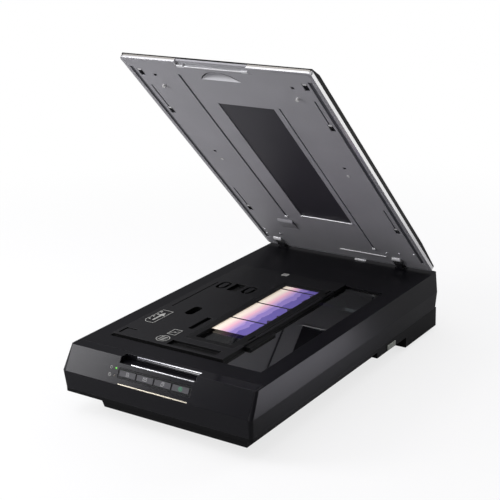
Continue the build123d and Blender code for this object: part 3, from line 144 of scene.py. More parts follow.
# %% Recipes
class Recipe:
    """A node tree, with one method that adds and wires any node."""

    def __init__(self, tree):
        self.tree = tree

    def add(self, kind, settings=None, sockets=None, output=0):
        node = self.tree.nodes.new(kind)
        for name, value in (settings or {}).items():
            if name == "stops":
                self.set_stops(node.color_ramp, value)
            else:
                setattr(node, name, value)
        for key, value in (sockets or {}).items():
            self.feed(node.inputs[key], value)
        return Shade(self, node.outputs[output])

    def set_stops(self, ramp, stops):
        while len(ramp.elements) < len(stops):
            ramp.elements.new(0.5)
        for element, (position, colour) in zip(ramp.elements, stops):
            element.position = position
            element.color = (*colour, 1.0)

    def feed(self, socket, value):
        if isinstance(value, Shade):
            self.tree.links.new(value.socket, socket)
        else:
            socket.default_value = value

    def mix(self, factor, first, second):
        """A colour between two colours; a plain colour has three numbers."""
        ends = [(*end, 1.0) if isinstance(end, tuple) else end for end in (first, second)]
        settings = {"data_type": "RGBA"}
        return self.add("ShaderNodeMix", settings, {0: factor, 6: ends[0], 7: ends[1]}, output=2)

    def dot(self, first, second):
        settings = {"operation": "DOT_PRODUCT"}
        return self.add("ShaderNodeVectorMath", settings, {0: first, 1: second}, output="Value")

    def split(self, vector):
        """The three parts of a vector, as values."""
        node = self.add("ShaderNodeSeparateXYZ", sockets={0: vector}).socket.node
        return [Shade(self, output) for output in node.outputs]

    def looks(self):
        """Two values: 1 for rays from the camera, and 1 for rays from a mirror or through glass."""
        rays = self.add("ShaderNodeLightPath").socket.node.outputs
        kinds = ("Is Camera Ray", "Is Glossy Ray", "Is Transmission Ray")
        camera_ray, glossy_ray, glass_ray = [Shade(self, rays[kind]) for kind in kinds]
        return camera_ray, (glossy_ray + glass_ray).clamped() * (1 - camera_ray)


print("recipes ready")

# %% [markdown]
# ## What every finish shares
# All pieces are drawn in one frame, so object coordinates are real places on the scanner and one grain size
# suits every piece. `Finish` adds what real surfaces have: noise of a stated size, edges rounded by a stated
# radius when light falls on them, and masks of edges, places and facings. Rounding in the shader was chosen
# over real fillets, because it leaves the frame's meshes as they are.

# %% Finish class
class Finish(Recipe):
    """A material with a Principled shader, painted socket by socket."""

    def __init__(self, name):
        self.material = bpy.data.materials.new(name)
        self.material.use_nodes = True
        super().__init__(self.material.node_tree)
        self.shader = self.tree.nodes["Principled BSDF"]
        self.place = self.add("ShaderNodeTexCoord", output="Object")

    def paint(self, sockets):
        for name, value in sockets.items():
            if isinstance(value, tuple) and len(value) == 3:
                value = (*value, 1.0)
            self.feed(self.shader.inputs[name], value)
        return self

    def axes(self):
        return self.split(self.place)

    def stretched(self, x, y, z):
        return self.add("ShaderNodeVectorMath", {"operation": "MULTIPLY"}, {0: self.place, 1: (x, y, z)})

    def noise(self, size, detail=2.0, vector=None):
        """Cloudy noise whose blobs are about this size in metres."""
        sockets = {"Vector": vector or self.place, "Scale": 1 / size, "Detail": detail}
        return self.add("ShaderNodeTexNoise", None, sockets)

    def rounded(self, radius):
        return self.add("ShaderNodeBevel", {"samples": 6}, {"Radius": radius})

    def edges(self, rounded):
        """1 on edges, 0 on flats: how far the rounded normal leans from the true one."""
        lean = self.dot(rounded, self.add("ShaderNodeNewGeometry", output="Normal"))
        return ((1 - lean) * 4.0).clamped()

    def along(self, way, start):
        """How far a point lies from a start in one direction, in metres."""
        offset = self.add("ShaderNodeVectorMath", {"operation": "SUBTRACT"}, {0: self.place, 1: start})
        return self.dot(offset, way)

    def depth_below(self, sheet):
        """How far a point lies behind a sheet, in metres."""
        return self.along(-sheet.out, sheet.origin)

    def turned_to(self, way):
        """1 on faces that look this way on the piece itself, so that the mask moves with it."""
        return self.dot(self.add("ShaderNodeTexCoord", output="Normal"), way).rise(0.55, 0.80)

    def bump(self, height, depth, normal):
        sockets = {"Strength": 1.0, "Distance": depth, "Height": height, "Normal": normal}
        return self.add("ShaderNodeBump", None, sockets)


def shaded(colour, factor):
    """A colour made lighter or darker."""
    return tuple(min(1.0, channel * factor) for channel in colour)


print("finish class ready")

# %% [markdown]
# ## World
# The photograph is a catalogue picture: the scanner on white, under broad soft lamps. A plain white world
# would flood the black plastic with light, so this one is white to the camera and dimmer to everything else.
# Matt surfaces and mirrors see it bright overhead and dim at the horizon, so polished black stays black and
# the lid's underside lies in soft shade; matt surfaces also get less from the right than from the left.

# %% World
fill_light = 0.70
fill_low = 0.20
horizon_light = 0.10
right_shade = 0.85
studio_tint = (0.972, 0.966, 1.0)

world = bpy.data.worlds.new("studio")
world.use_nodes = True
bpy.context.scene.world = world
sky = Recipe(world.node_tree)
background = world.node_tree.nodes["Background"]
straight, mirrored = sky.looks()
rightwards, _, height = sky.split(sky.add("ShaderNodeTexCoord", output="Generated"))
overhead = horizon_light + height.rise(0.30, 0.75) * (1 - horizon_light)
fill = fill_low + height.rise(0.0, 0.8) * (fill_light - fill_low)
matt = (1 - straight - mirrored) * fill * (1 - rightwards.rise(-0.2, 0.9) * right_shade)
sky.feed(background.inputs["Color"], sky.mix(straight, studio_tint, (1.0, 1.0, 1.0)))
sky.feed(background.inputs["Strength"], straight + mirrored * overhead + matt)
print("world: fill", fill_low, "to", fill_light)

# %% [markdown]
# ## Floor
# The floor bounces light as a middling grey, darker on the right. The camera sees it pale, with a soft
# shadow, and fading to white further away; mirrors see that white too, but only away from the scanner, whose
# dark sides stand over the floor near it. A curved backdrop could do the same, but has a bend to hide.

# %% Floor
floor_half = 8.0
floor_drop = 0.0002
floor_grey = 0.48
floor_right_shade = 0.25
floor_pale = 0.92
floor_white = 0.76
floor_mirrored = 0.06

floor_skin = Finish("studio_floor")
straight, mirrored = floor_skin.looks()
bounced = 1 - straight - mirrored
bounce = floor_grey - bounced * floor_skin.axes()[0].rise(0.1, 0.6) * floor_right_shade
floor_skin.paint({
    "Base Color": floor_skin.mix(straight, bounce, (floor_pale,) * 3),
    "Roughness": 1.0,
    "Specular IOR Level": 0.0,
})
length = {"operation": "LENGTH"}
distance = floor_skin.add("ShaderNodeVectorMath", length, {0: floor_skin.place}, output="Value")
page = floor_white + distance.rise(0.45, 1.2) * (1 - floor_white)
far = floor_mirrored + distance.rise(0.60, 0.95) * (1 - floor_mirrored)
white = floor_skin.add("ShaderNodeEmission", sockets={"Color": (1.0, 1.0, 1.0, 1.0), "Strength": 1.0})
lit = Shade(floor_skin, floor_skin.shader.outputs["BSDF"])
layers = {0: straight * page + mirrored * far, 1: lit, 2: white}
surface = floor_skin.add("ShaderNodeMixShader", sockets=layers)
floor_skin.feed(floor_skin.tree.nodes["Material Output"].inputs["Surface"], surface)

floor_mesh = bpy.data.meshes.new("studio_floor")
corners = [(x * floor_half, y * floor_half, -floor_drop) for x, y in ((-1, -1), (1, -1), (1, 1), (-1, 1))]
floor_mesh.from_pydata(corners, [], [(0, 1, 2, 3)])
floor_mesh.materials.append(floor_skin.material)
floor = bpy.data.objects.new("studio_floor", floor_mesh)
scene_objects.link(floor)
print("floor", 2 * floor_half, "m wide")

# %% [markdown]
# ## Lamps
# Four lamps do the modelling: a broad one overhead, one low at the front left, whose reflection fades along
# the front slope, one behind on the right for the back of the lid, and a small cool strip that the right
# side mirrors. The strip lies in view, so lamps are hidden from camera rays; only shiny surfaces see it, so
# that it lights neither the floor nor the lid.

# %% Lamps
subject = Vector((0.0, -0.05, 0.15))
strip_place = Vector((0.245, -0.003, 0.032))
strip_target = strip_place - Vector((1.0, 0.0, 0.0))
strip_tint = (0.92, 0.90, 1.0)


def soft_lamp(name, place, target, width, height, radiance):
    """A rectangular lamp that looks at a target; radiance is how bright its face is."""
    light = bpy.data.lights.new(name, "AREA")
    light.shape = "RECTANGLE"
    light.size = width
    light.size_y = height
    light.energy = radiance * math.pi * width * height
    light.color = studio_tint
    lamp = bpy.data.objects.new(name, light)
    lamp.location = place
    lamp.rotation_euler = (target - lamp.location).to_track_quat("-Z", "Y").to_euler()
    lamp.visible_camera = False
    scene_objects.link(lamp)
    return lamp


soft_lamp("overhead_lamp", subject + Vector((-0.27, -0.62, 1.77)), subject, 2.2, 1.8, 1.2)
soft_lamp("front_left_lamp", subject + Vector((-1.09, -0.86, 0.57)), subject, 0.68, 0.7, 10.0)
soft_lamp("back_right_lamp", subject + Vector((0.95, 1.45, 0.95)), subject, 1.0, 0.8, 3.0)
strip_lamp = soft_lamp("side_strip_lamp", strip_place, strip_target, 0.28, 0.05, 6.2)
strip_lamp.visible_diffuse = False
strip_lamp.data.color = strip_tint

# %% [markdown]
# ## Flat places to work on
# Small pieces are drawn on three flat places: the front slope, the top of the film holder and the lid's
# underside. A `Sheet` turns "so far across, so far up, so high" into a point of the frame, so that a sign on
# the tilted lid is written as easily as one on a table. Rotated empties could carry the pieces too, but
# this way every mesh stays in the frame's own coordinates.

# %% Sheets
class Sheet:
    """A flat place: its own two directions, and the direction out of it."""

    def __init__(self, origin, up):
        self.origin = Vector(origin)
        self.across = Vector((1.0, 0.0, 0.0))
        self.up = Vector(up).normalized()
        self.out = self.across.cross(self.up)

    def at(self, across, up, height=0.0):
        return self.origin + self.across * across + self.up * up + self.out * height

    def flat(self, point):
        """Where a point of the frame lies on the sheet: across, up, height."""
        offset = Vector(point) - self.origin
        return Vector((offset.dot(self.across), offset.dot(self.up), offset.dot(self.out)))

    def points_of(self, node_name):
        """A node's vertices, as places on the sheet."""
        return [self.flat(vertex.co) for vertex in nodes[node_name].data.vertices]

    def top_of(self, node_name):
        """How far a node stands out of the sheet."""
        return max(point.z for point in self.points_of(node_name))


case_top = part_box("upper_case")[1].z
case_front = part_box("front_bezel")[0].y
slope_foot = 0.0565
slope_run = 0.0165
slope = Sheet((0.0, case_front, slope_foot), (0.0, slope_run, case_top - slope_foot))

lid_joint = next(joint for joint in frame["joints"] if joint["name"] == "lid_hinge")
lid_angle = math.radians(-lid_joint["range_deg"][0])
lid_under = 0.0034
underside = Sheet(lid_joint["pos_m"], (0.0, -math.cos(lid_angle), math.sin(lid_angle)))
underside.origin += underside.out * lid_under

holder_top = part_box("film_holder_plate")[1].z
holder = Sheet((0.0, 0.0, holder_top), (0.0, 1.0, 0.0))
print("slope leans", round(math.degrees(math.atan2(slope.up.y, slope.up.z)), 1), "degrees;",
      "holder top at", round(holder_top, 4), "m; lid open", round(math.degrees(lid_angle), 1), "degrees")

# %% [markdown]
# ## Moulded plastic
# Most of the scanner is injection-moulded plastic with a fine spark-eroded texture. One recipe covers it:
# broad clouds that vary the tone and the gloss a little, pores for the texture, and edges that are rounded
# and painted paler, partly as wear and partly as a painted highlight. Grooves carry painted shade, darker
# than the face around them, and deep pockets are painted nearly black: whatever lies behind the sheet of
# that face is toned down. What differs from finish to finish is colour, gloss and the size of the grain.

# %% Moulded plastic
def moulded(name, colour, roughness, specular=0.25, grain=0.0006, relief=0.000012, radius=0.0005,
            edge_wear_and_highlight=0.35, wear_and_highlight_lift=0.03, face=None, recess_shade_colour=(0.0, 0.0, 0.0)):
    """Grained plastic; what lies behind the sheet `face` is darkened towards a given colour, as painted
    shade.
    """
    skin = Finish(name)
    rounded = skin.rounded(radius)
    clouds = skin.noise(0.07, detail=4.0)
    pores = skin.noise(grain, detail=1.0)
    tone = skin.mix(clouds * 0.7 + pores * 0.3, shaded(colour, 0.8), shaded(colour, 1.2))
    # Edges are painted paler: partly wear, partly a painted highlight where light catches the rounded edge.
    wear_and_highlight = tuple(0.7 * channel + wear_and_highlight_lift for channel in colour)
    tone = skin.mix(skin.edges(rounded) * edge_wear_and_highlight, tone, wear_and_highlight)
    # Painted shade: faces behind the sheet are darkened, and deep pockets are painted nearly black.
    if face is not None:
        depth = skin.depth_below(face)
        tone = skin.mix(depth.rise(0.0003, 0.0009) * 0.9, tone, recess_shade_colour)
        tone = skin.mix(depth.rise(0.0015, 0.0020), tone, shaded(recess_shade_colour, 0.1))
    gloss = roughness + (clouds - 0.5) * 0.10 + (pores - 0.5) * 0.12
    return skin.paint({
        "Base Color": tone,
        "Roughness": gloss,
        "Specular IOR Level": specular,
        "Normal": skin.bump(pores, relief, rounded),
    })


case_black = moulded("case_black_satin", (0.0034, 0.0032, 0.0048), 0.40, specular=0.14)
lower_black = moulded("lower_case_black", (0.0045, 0.0045, 0.0050), 0.46, specular=0.10)
# The holder and the film frame get strong painted edge highlights; the holder's pockets a near-black painted
# shade.
holder_black = moulded("holder_matt_black", (0.0100, 0.0097, 0.0112), 0.52, specular=0.21, relief=0.00002,
                       radius=0.0007, edge_wear_and_highlight=0.9, wear_and_highlight_lift=0.07, face=holder, recess_shade_colour=(0.0008, 0.0008, 0.0009))
frame_black = moulded("film_frame_black", (0.0050, 0.0050, 0.0054), 0.48, specular=0.16, relief=0.00002,
                      radius=0.0007, edge_wear_and_highlight=0.9, wear_and_highlight_lift=0.06)
hinge_black = moulded("hinge_black", (0.010, 0.010, 0.011), 0.38, specular=0.2)
tray_black = moulded("button_tray_black", (0.004, 0.004, 0.0045), 0.30, specular=0.15)
grip_black = moulded("grip_cup_black", (0.003, 0.003, 0.003), 0.42, specular=0.10)
rubber_black = moulded("rubber_black", (0.016, 0.016, 0.016), 0.78, specular=0.12, relief=0.00003)
print("black mouldings made")

# %% [markdown]
# ## Grey and pale mouldings
# The lid's underside is warm grey, with the handle plate in the same grey; keys are darker and coarser in
# the grain. Hooks, bumpers, tabs and gears are pale. They all come from the same recipe as the black
# mouldings, since it is one process and only the pigment differs.

# %% Grey and pale mouldings
under_grey = (0.392, 0.389, 0.408)
# The panel's grooves and pockets take a dark blue-grey painted shade.
panel_grey = moulded("lid_panel_grey", under_grey, 0.46, specular=0.35, relief=0.000015,
                     face=underside, recess_shade_colour=(0.060, 0.064, 0.075))
handle_grey = moulded("lid_handle_grey", under_grey, 0.44, specular=0.35, relief=0.000015)
key_grey = moulded("key_grey_grained", (0.062, 0.061, 0.066), 0.50, grain=0.0009, relief=0.00006, edge_wear_and_highlight=0.6)
hook_pale = moulded("hook_pale", (0.82, 0.82, 0.81), 0.40, radius=0.0003)
lock_pale = moulded("lock_pale_grey", (0.40, 0.42, 0.37), 0.45)
bumper_pale = moulded("bumper_pale", (0.72, 0.72, 0.70), 0.40, radius=0.0003)
tab_pale = moulded("tab_pale", (0.88, 0.88, 0.88), 0.24, specular=0.6, radius=0.0003)
nylon_white = moulded("nylon_white", (0.72, 0.72, 0.66), 0.38, radius=0.0002)
lamp_white = moulded("lamp_white", (0.60, 0.61, 0.58), 0.30)
print("grey and pale mouldings made")

# %% [markdown]
# ## Front bezel and lid cover
# Each of these is one moulding with two finishes. The bezel is satin on its slope and polished along its
# top, where it mirrors the lid; the lid cover has a clear gloss coat on its outside and is plain on its
# edges. Separate materials would need a cut in the mesh, so a mask changes the gloss instead: a matter of
# height on the bezel, and of facing on the cover.

# %% Front bezel and lid cover
slope_gloss = 0.22
top_gloss = 0.08
bezel_black = moulded("front_bezel_black", (0.0045, 0.0043, 0.0062), slope_gloss, specular=0.20,
                      relief=0.000004, radius=0.0008)
polished = bezel_black.axes()[2].rise(case_top - 0.0006, case_top - 0.0001)
satin = slope_gloss + (bezel_black.noise(0.05) - 0.5) * 0.05
bezel_black.paint({"Roughness": satin * (1 - polished) + polished * top_gloss})

lid_black = moulded("lid_cover_black", (0.0060, 0.0052, 0.0042), 0.36, specular=0.08)
outside = lid_black.turned_to(-underside.out)
lid_black.paint({"Coat Weight": outside * 0.7, "Coat Roughness": 0.16})
print("bezel polished above z =", round(case_top - 0.0006, 4))

# %% [markdown]
# ## Metals
# Sheet and turned metal shows fine lines where it was drawn or cut. Noise squeezed along one axis makes
# such lines; they change the roughness and a very small bump. An anisotropic shader would draw the glint
# without the lines, but the lines show when the camera comes close.

# %% Metals
def drawn_metal(name, colour, roughness, lines=(1.0, 0.02, 1.0), radius=0.0003):
    metal = Finish(name)
    rounded = metal.rounded(radius)
    streaks = metal.noise(0.0008, detail=2.0, vector=metal.stretched(*lines))
    clouds = metal.noise(0.03)
    tone = metal.mix(clouds, shaded(colour, 0.86), shaded(colour, 1.05))
    return metal.paint({
        "Base Color": metal.mix(metal.edges(rounded) * 0.4, tone, shaded(colour, 1.15)),
        "Metallic": 1.0,
        "Roughness": roughness + (streaks - 0.5) * 0.15 + (clouds - 0.5) * 0.08,
        "Normal": metal.bump(streaks, 0.000004, rounded),
    })


rail_chrome = drawn_metal("grip_rail_chrome", (0.36, 0.36, 0.37), 0.20, lines=(0.02, 1.0, 1.0),
                          radius=0.0001)
steel = drawn_metal("steel_bright", (0.72, 0.72, 0.74), 0.26)
bronze = drawn_metal("bronze_sintered", (0.62, 0.44, 0.22), 0.36)
socket_metal = drawn_metal("socket_tinplate", (0.66, 0.66, 0.68), 0.28)
motor_metal = drawn_metal("motor_can", (0.30, 0.30, 0.32), 0.34, lines=(1.0, 1.0, 0.02))
mirror_face = drawn_metal("mirror_silvering", (0.92, 0.92, 0.93), 0.03)
print("metals made")

# %% [markdown]
# ## Silver paint
# The lid's rim, the grip bar and the lips are plastic with silver lacquer: a metal with flakes instead of
# lines. On the rim, the face that lies in the lid's underside is left bare grey, and the front edge has a
# painted lit half by the underside and a painted shaded half by the cover. Both are masks by facing and by
# depth, because the rim is one piece.

# %% Silver paint
painted_metal = 0.85
# Painted light and shade for the two halves of the rim's front edge.
rim_lit_half = (0.60, 0.60, 0.61)
rim_shaded_half = (0.25, 0.24, 0.22)


def silver_paint(name, colour, roughness, rim=None):
    """Silver lacquer; a rim round a sheet is bare on the sheet's face and has painted light and shade on its
    front edge.
    """
    paint = Finish(name)
    rounded = paint.rounded(0.0006)
    flakes = paint.noise(0.0003, detail=1.0)
    clouds = paint.noise(0.05, detail=3.0)
    tone = paint.mix(flakes * 0.6 + clouds * 0.4, shaded(colour, 0.9), shaded(colour, 1.06))
    metal = painted_metal
    if rim is not None:
        # Painted light and shade: the edge's half by the underside is painted pale, its half by the cover
        # dark.
        edge = paint.mix(paint.depth_below(rim).rise(0.0022, 0.0027), rim_lit_half, rim_shaded_half)
        tone = paint.mix(paint.turned_to(rim.up), tone, edge)
        bare = paint.turned_to(rim.out)
        tone = paint.mix(bare, tone, under_grey)
        metal = painted_metal - bare * painted_metal
    return paint.paint({
        "Base Color": tone,
        "Metallic": metal,
        "Roughness": roughness + (flakes - 0.5) * 0.10,
        "Coat Weight": 0.25 + clouds * 0.1,
        "Normal": paint.bump(flakes, 0.000003, rounded),
    })


rim_silver = silver_paint("rim_silver_paint", (0.92, 0.92, 0.92), 0.24, rim=underside)
lip_silver = silver_paint("lip_silver_paint", (0.80, 0.80, 0.81), 0.34)
grip_silver = silver_paint("grip_bar_silver", (0.55, 0.55, 0.56), 0.24)
accent_cream = silver_paint("accent_cream", (0.50, 0.46, 0.37), 0.42)
print("silver paints made")

# %% [markdown]
# ## Glass and the lamp window
# The platen is float glass with a grey-green tint. A transmitting shader is the honest way: the dark inside
# of the case and the lid above then make its colour. A coat stands for the polish of the bare part beside
# the film holder, which is wiped most at the front. The lid's window is a smoked diffuser, so it is opaque,
# dark and satin, with a very slight ripple.

# %% Glass and window
holder_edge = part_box("film_holder_plate")[1].x


def clear_glass():
    glass = Finish("platen_glass_clear")
    x, y, _ = glass.axes()
    bare = x.rise(holder_edge - 0.012, holder_edge - 0.006)
    smears = glass.noise(0.05, detail=5.0)
    return glass.paint({
        "Base Color": glass.mix(smears, (0.20, 0.22, 0.22), (0.24, 0.26, 0.26)),
        "Transmission Weight": 1.0,
        "IOR": 1.5,
        "Coat Weight": bare * (1 - y.rise(-0.12, 0.06) * 0.85),
        "Roughness": 0.01 + smears.rise(0.55, 0.85) * 0.03,
    })


def smoked_window():
    window = Finish("lamp_window_smoked")
    ripple = window.noise(0.02, detail=3.0)
    return window.paint({
        "Base Color": window.mix(ripple, (0.040, 0.038, 0.046), (0.050, 0.048, 0.057)),
        "Roughness": 0.40 + (ripple - 0.5) * 0.08,
        "Specular IOR Level": 0.25,
        "Normal": window.bump(ripple, 0.00002, window.rounded(0.0004)),
    })


platen_clear = clear_glass()
window_smoked = smoked_window()
print("glass bare beyond x =", round(holder_edge, 4))

# %% [markdown]
# ## Film strip
# The film in the holder is a strip of colour transparency. Its picture here is an invented one: frames of
# evening hills under a cream and rose sky. Ridge lines are one-dimensional noise along the strip, compared
# with the place across it, which gives crisp hills at any size without a picture file.

# %% Film strip
film_low, film_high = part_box("film_strip")
frame_pitch = 0.060
frame_gap = 0.0035
first_frame = 0.30
film_black = (0.012, 0.010, 0.012)


def film_transparency():
    film = Finish("film_transparency")
    x, y, _ = film.axes()
    across = (x - film_low.x) / (film_high.x - film_low.x)
    sky_colour = film.add("ShaderNodeValToRGB", {"stops": [
        (0.00, (0.93, 0.84, 0.66)),
        (0.20, (0.95, 0.80, 0.70)),
        (0.34, (0.80, 0.46, 0.58)),
        (0.50, (0.36, 0.26, 0.60)),
        (0.70, (0.16, 0.13, 0.46)),
        (0.88, (0.46, 0.28, 0.50)),
        (1.00, (0.62, 0.38, 0.42)),
    ]}, {0: across})

    def ridge(base, height, length, seed, colour, under):
        """A range of hills in front of the picture so far."""
        sockets = {"W": y / length + seed, "Scale": 1.0, "Detail": 4.0}
        skyline = film.add("ShaderNodeTexNoise", {"noise_dimensions": "1D"}, sockets)
        below = (across - (base - (skyline - 0.5) * height)).rise(-0.006, 0.006)
        return film.mix(below, under, colour)

    streaks = film.noise(0.004, detail=3.0, vector=film.stretched(3.0, 0.25, 1.0))
    picture = film.mix((streaks - 0.4) * 0.35, sky_colour, (0.92, 0.78, 0.78))
    picture = ridge(0.50, 0.20, 0.020, 3.0, (0.27, 0.20, 0.52), picture)
    picture = ridge(0.66, 0.22, 0.026, 11.0, (0.13, 0.10, 0.36), picture)
    picture = ridge(0.90, 0.30, 0.017, 27.0, (0.030, 0.020, 0.055), picture)
    shots = (y - film_low.y) / frame_pitch + first_frame
    part = film.add("ShaderNodeMath", {"operation": "FRACT"}, {0: shots})
    gap = 1 - part.rise(frame_gap / frame_pitch * 0.8, frame_gap / frame_pitch)
    border = across.band(0.045, 0.955, 0.004)
    picture = film.mix(border * (1 - gap), film_black, picture)
    return film.paint({
        "Base Color": picture,
        "Roughness": 0.22 + (streaks - 0.5) * 0.1,
        # Painted light: the film glows with its own picture, though no lamp shines through it.
        "Emission Color": picture,
        "Emission Strength": 0.40,
        "Normal": film.bump(streaks, 0.000003, film.rounded(0.0002)),
    })


film_picture = film_transparency()
print("film strip", round(film_high.y - film_low.y, 3), "m long, frames", frame_pitch, "m apart")

# %% [markdown]
# ## Prints and lights
# Signs are printed in pale ink, and the two lights are clear domes: the upper one glows green, the lower one
# is dark. Ink gets a little mottling, because a solid colour looks like a hole in the render. The glow could
# come from a lamp inside the dome; an emission that is brightest at the middle needs no extra lamp.

# %% Prints and lights
def ink(name, colour, roughness=0.5):
    print_ink = Finish(name)
    mottle = print_ink.noise(0.0012, detail=2.0)
    return print_ink.paint({
        "Base Color": print_ink.mix(mottle, shaded(colour, 0.75), colour),
        "Roughness": roughness + (mottle - 0.5) * 0.2,
        "Normal": print_ink.bump(mottle, 0.000004, print_ink.rounded(0.0001)),
    })


def middle_of(node_name):
    return sum(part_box(node_name), Vector()) / 2


def light_dome(name, node_name, colour, glow):
    dome = Finish(name)
    sockets = {0: dome.place, 1: middle_of(node_name)}
    offset = dome.add("ShaderNodeVectorMath", {"operation": "DISTANCE"}, sockets, output="Value")
    core = 1 - offset.rise(0.0006, 0.0022)
    return dome.paint({
        "Base Color": dome.mix(core, shaded(colour, 0.5), colour),
        "Emission Color": dome.mix(core, colour, tuple(0.6 * channel + 0.4 for channel in colour)),
        "Emission Strength": glow,
        "Roughness": 0.12 + core * 0.05,
        "Coat Weight": 0.5,
    })


print_pale = ink("print_pale", (0.50, 0.50, 0.47))
key_print = ink("key_print_pale", (0.42, 0.42, 0.42))
start_print = ink("start_print_green", (0.02, 0.30, 0.13))
label_paper = ink("label_paper", (0.66, 0.66, 0.62), 0.6)
power_green = light_dome("power_light_green", "power_light", (0.16, 0.70, 0.07), 0.6)
error_dark = light_dome("error_light_dark", "error_light", (0.10, 0.07, 0.04), 0.0)
print("inks and lights made")

# %% [markdown]
# ## Boards and belt
# Circuit boards are green lacquer over copper tracks with bright solder pads: a brick pattern gives tracks
# and small round cells give pads. The belt is rubber with a row of teeth, drawn as a wave along its length.
# Both lie inside the case, where a pattern reads as well as modelled tracks or teeth would.

# %% Boards and belt
def circuit_board():
    board = Finish("circuit_board_green")
    sockets = {"Vector": board.place, "Scale": 190.0, "Mortar Size": 0.03, "Mortar Smooth": 0.1}
    tracks = board.add("ShaderNodeTexBrick", {"offset": 0.37}, sockets, output="Fac")
    sockets = {"Vector": board.place, "Scale": 260.0}
    cells = board.add("ShaderNodeTexVoronoi", None, sockets, output="Distance")
    pads = 1 - cells.rise(0.16, 0.20)
    clouds = board.noise(0.01)
    lacquer = board.mix(clouds, (0.010, 0.075, 0.030), (0.018, 0.110, 0.045))
    lacquer = board.mix(tracks, lacquer, (0.05, 0.20, 0.07))
    return board.paint({
        "Base Color": board.mix(pads, lacquer, (0.62, 0.60, 0.55)),
        "Metallic": pads * 0.9,
        "Roughness": 0.36 - pads * 0.12 + (clouds - 0.5) * 0.1,
        "Normal": board.bump(tracks + pads, 0.00004, board.rounded(0.0002)),
    })


def toothed_rubber():
    belt = Finish("timing_belt_rubber")
    settings = {"wave_type": "BANDS", "bands_direction": "Y"}
    teeth = belt.add("ShaderNodeTexWave", settings, {"Vector": belt.place, "Scale": 160.0})
    scuff = belt.noise(0.004, detail=3.0)
    return belt.paint({
        "Base Color": belt.mix(scuff, (0.010, 0.010, 0.010), (0.030, 0.030, 0.031)),
        "Roughness": 0.62 + (scuff - 0.5) * 0.2,
        "Normal": belt.bump(teeth, 0.0003, belt.rounded(0.0002)),
    })


board_green = circuit_board()
belt_rubber = toothed_rubber()
print("board and belt made")

# %% [markdown]
# ## Dressing the frame's own pieces
# Each node arrives with a plain stand-in named after its material slot. Most slots take one finish; a few
# nodes take their own, because one slot covers mouldings that look different, such as the satin case and
# the polished bezel. Only the material is changed, never the mesh.

# %% Dress the nodes
slot_finish = {
    "case_black": case_black,
    "grip_black": grip_black,
    "trim_silver": rim_silver,
    "panel_grey": panel_grey,
    "window_dark": window_smoked,
    "clear_glass": platen_clear,
    "holder_black": holder_black,
    "film": film_picture,
    "key_grey": key_grey,
    "accent_cream": accent_cream,
    "light_green": power_green,
    "light_amber": error_dark,
    "lock_pale": lock_pale,
    "steel": steel,
    "bronze": bronze,
    "rubber_black": rubber_black,
    "board_green": board_green,
    "gear_white": nylon_white,
    "lamp_white": lamp_white,
    "mirror_face": mirror_face,
    "socket_metal": socket_metal,
    "motor_metal": motor_metal,
}
node_finish = {
    "lower_case": lower_black,
    "lid_cover": lid_black,
    "lid_handle": handle_grey,
    "hinge_arms": hinge_black,
    "hinge_pins": hinge_black,
    "panel_hooks": hook_pale,
    "front_bezel": bezel_black,
    "button_tray": tray_black,
    "film_frame": frame_black,
    "grip_trim": grip_silver,
    "lid_bumpers": bumper_pale,
    "timing_belt": belt_rubber,
}
for node_name, node in nodes.items():
    slot_name = node.data.materials[0].name
    finish = node_finish.get(node_name, slot_finish[slot_name])
    for index in range(len(node.data.materials)):
        node.data.materials[index] = finish.material
print("dressed", len(nodes), "nodes with", len(bpy.data.materials), "materials in the file")

# %% [markdown]
# ## Drawing with ribbons and slabs
# A printed line is a ribbon of ink a twentieth of a millimetre thick; a filled sign is a slab. Curves with
# a bevel could draw lines too, but their ends and thickness are harder to hold to a flat print, so both are
# closed meshes built point by point. Corners are mitred, so that a square frame has square corners.

# %% Ribbons and slabs
ink_height = 0.00005
ink_sink = 0.00003
sharpest_mitre = 0.35


def bridge(bm, first, second, closed=True):
    """A band of faces between two rows of vertices."""
    count = len(first)
    for index in range(count if closed else count - 1):
        after = (index + 1) % count
        bm.faces.new((first[index], first[after], second[after], second[index]))


def ribbon(bm, sheet, points, width, base=0.0, height=ink_height, closed=False):
    """A flat line of this width through the points."""
    path = [Vector(point) for point in points]
    if closed:
        route = [path[-1], *path, path[0]]
    else:
        route = [2 * path[0] - path[1], *path, 2 * path[-1] - path[-2]]
    top, foot = base + height, base - ink_sink
    sections = []
    for before, point, after in zip(route, route[1:], route[2:]):
        arriving = (point - before).normalized()
        leaving = (after - point).normalized()
        tangent = (arriving + leaving).normalized()
        reach = width / 2 / max(sharpest_mitre, tangent.dot(arriving))
        side = Vector((-tangent.y, tangent.x)) * reach
        left, right = point + side, point - side
        places = ((left, top), (right, top), (right, foot), (left, foot))
        sections.append([bm.verts.new(sheet.at(*place, level)) for place, level in places])
    for first, second in zip(sections, sections[1:]):
        bridge(bm, first, second)
    if closed:
        bridge(bm, sections[-1], sections[0])
    else:
        bm.faces.new(sections[0])
        bm.faces.new(sections[-1][::-1])


def slab(bm, sheet, outline, base=0.0, height=ink_height):
    """A filled shape with this outline."""
    tops = [bm.verts.new(sheet.at(u, v, base + height)) for u, v in outline]
    feet = [bm.verts.new(sheet.at(u, v, base - ink_sink)) for u, v in outline]
    bm.faces.new(tops)
    bm.faces.new(feet[::-1])
    bridge(bm, tops, feet)


print("ink stands", ink_height * 1000, "mm high")

# %% [markdown]
# ## Signs as lists of strokes
# Every sign is a few strokes: filled shapes, lines and closed loops. A function per sign could draw them;
# lists in millimetres about the sign's centre are shorter, and `stamp` draws any of them on a sheet. `piece`
# makes the drawing an object that rides on a body of the frame and moves with it.

# %% Stamps and pieces
mm = 0.001
crease = math.radians(40)
stroke_width = {"line": 1.0, "thin": 0.8, "loop": 1.0, "bold loop": 1.3}


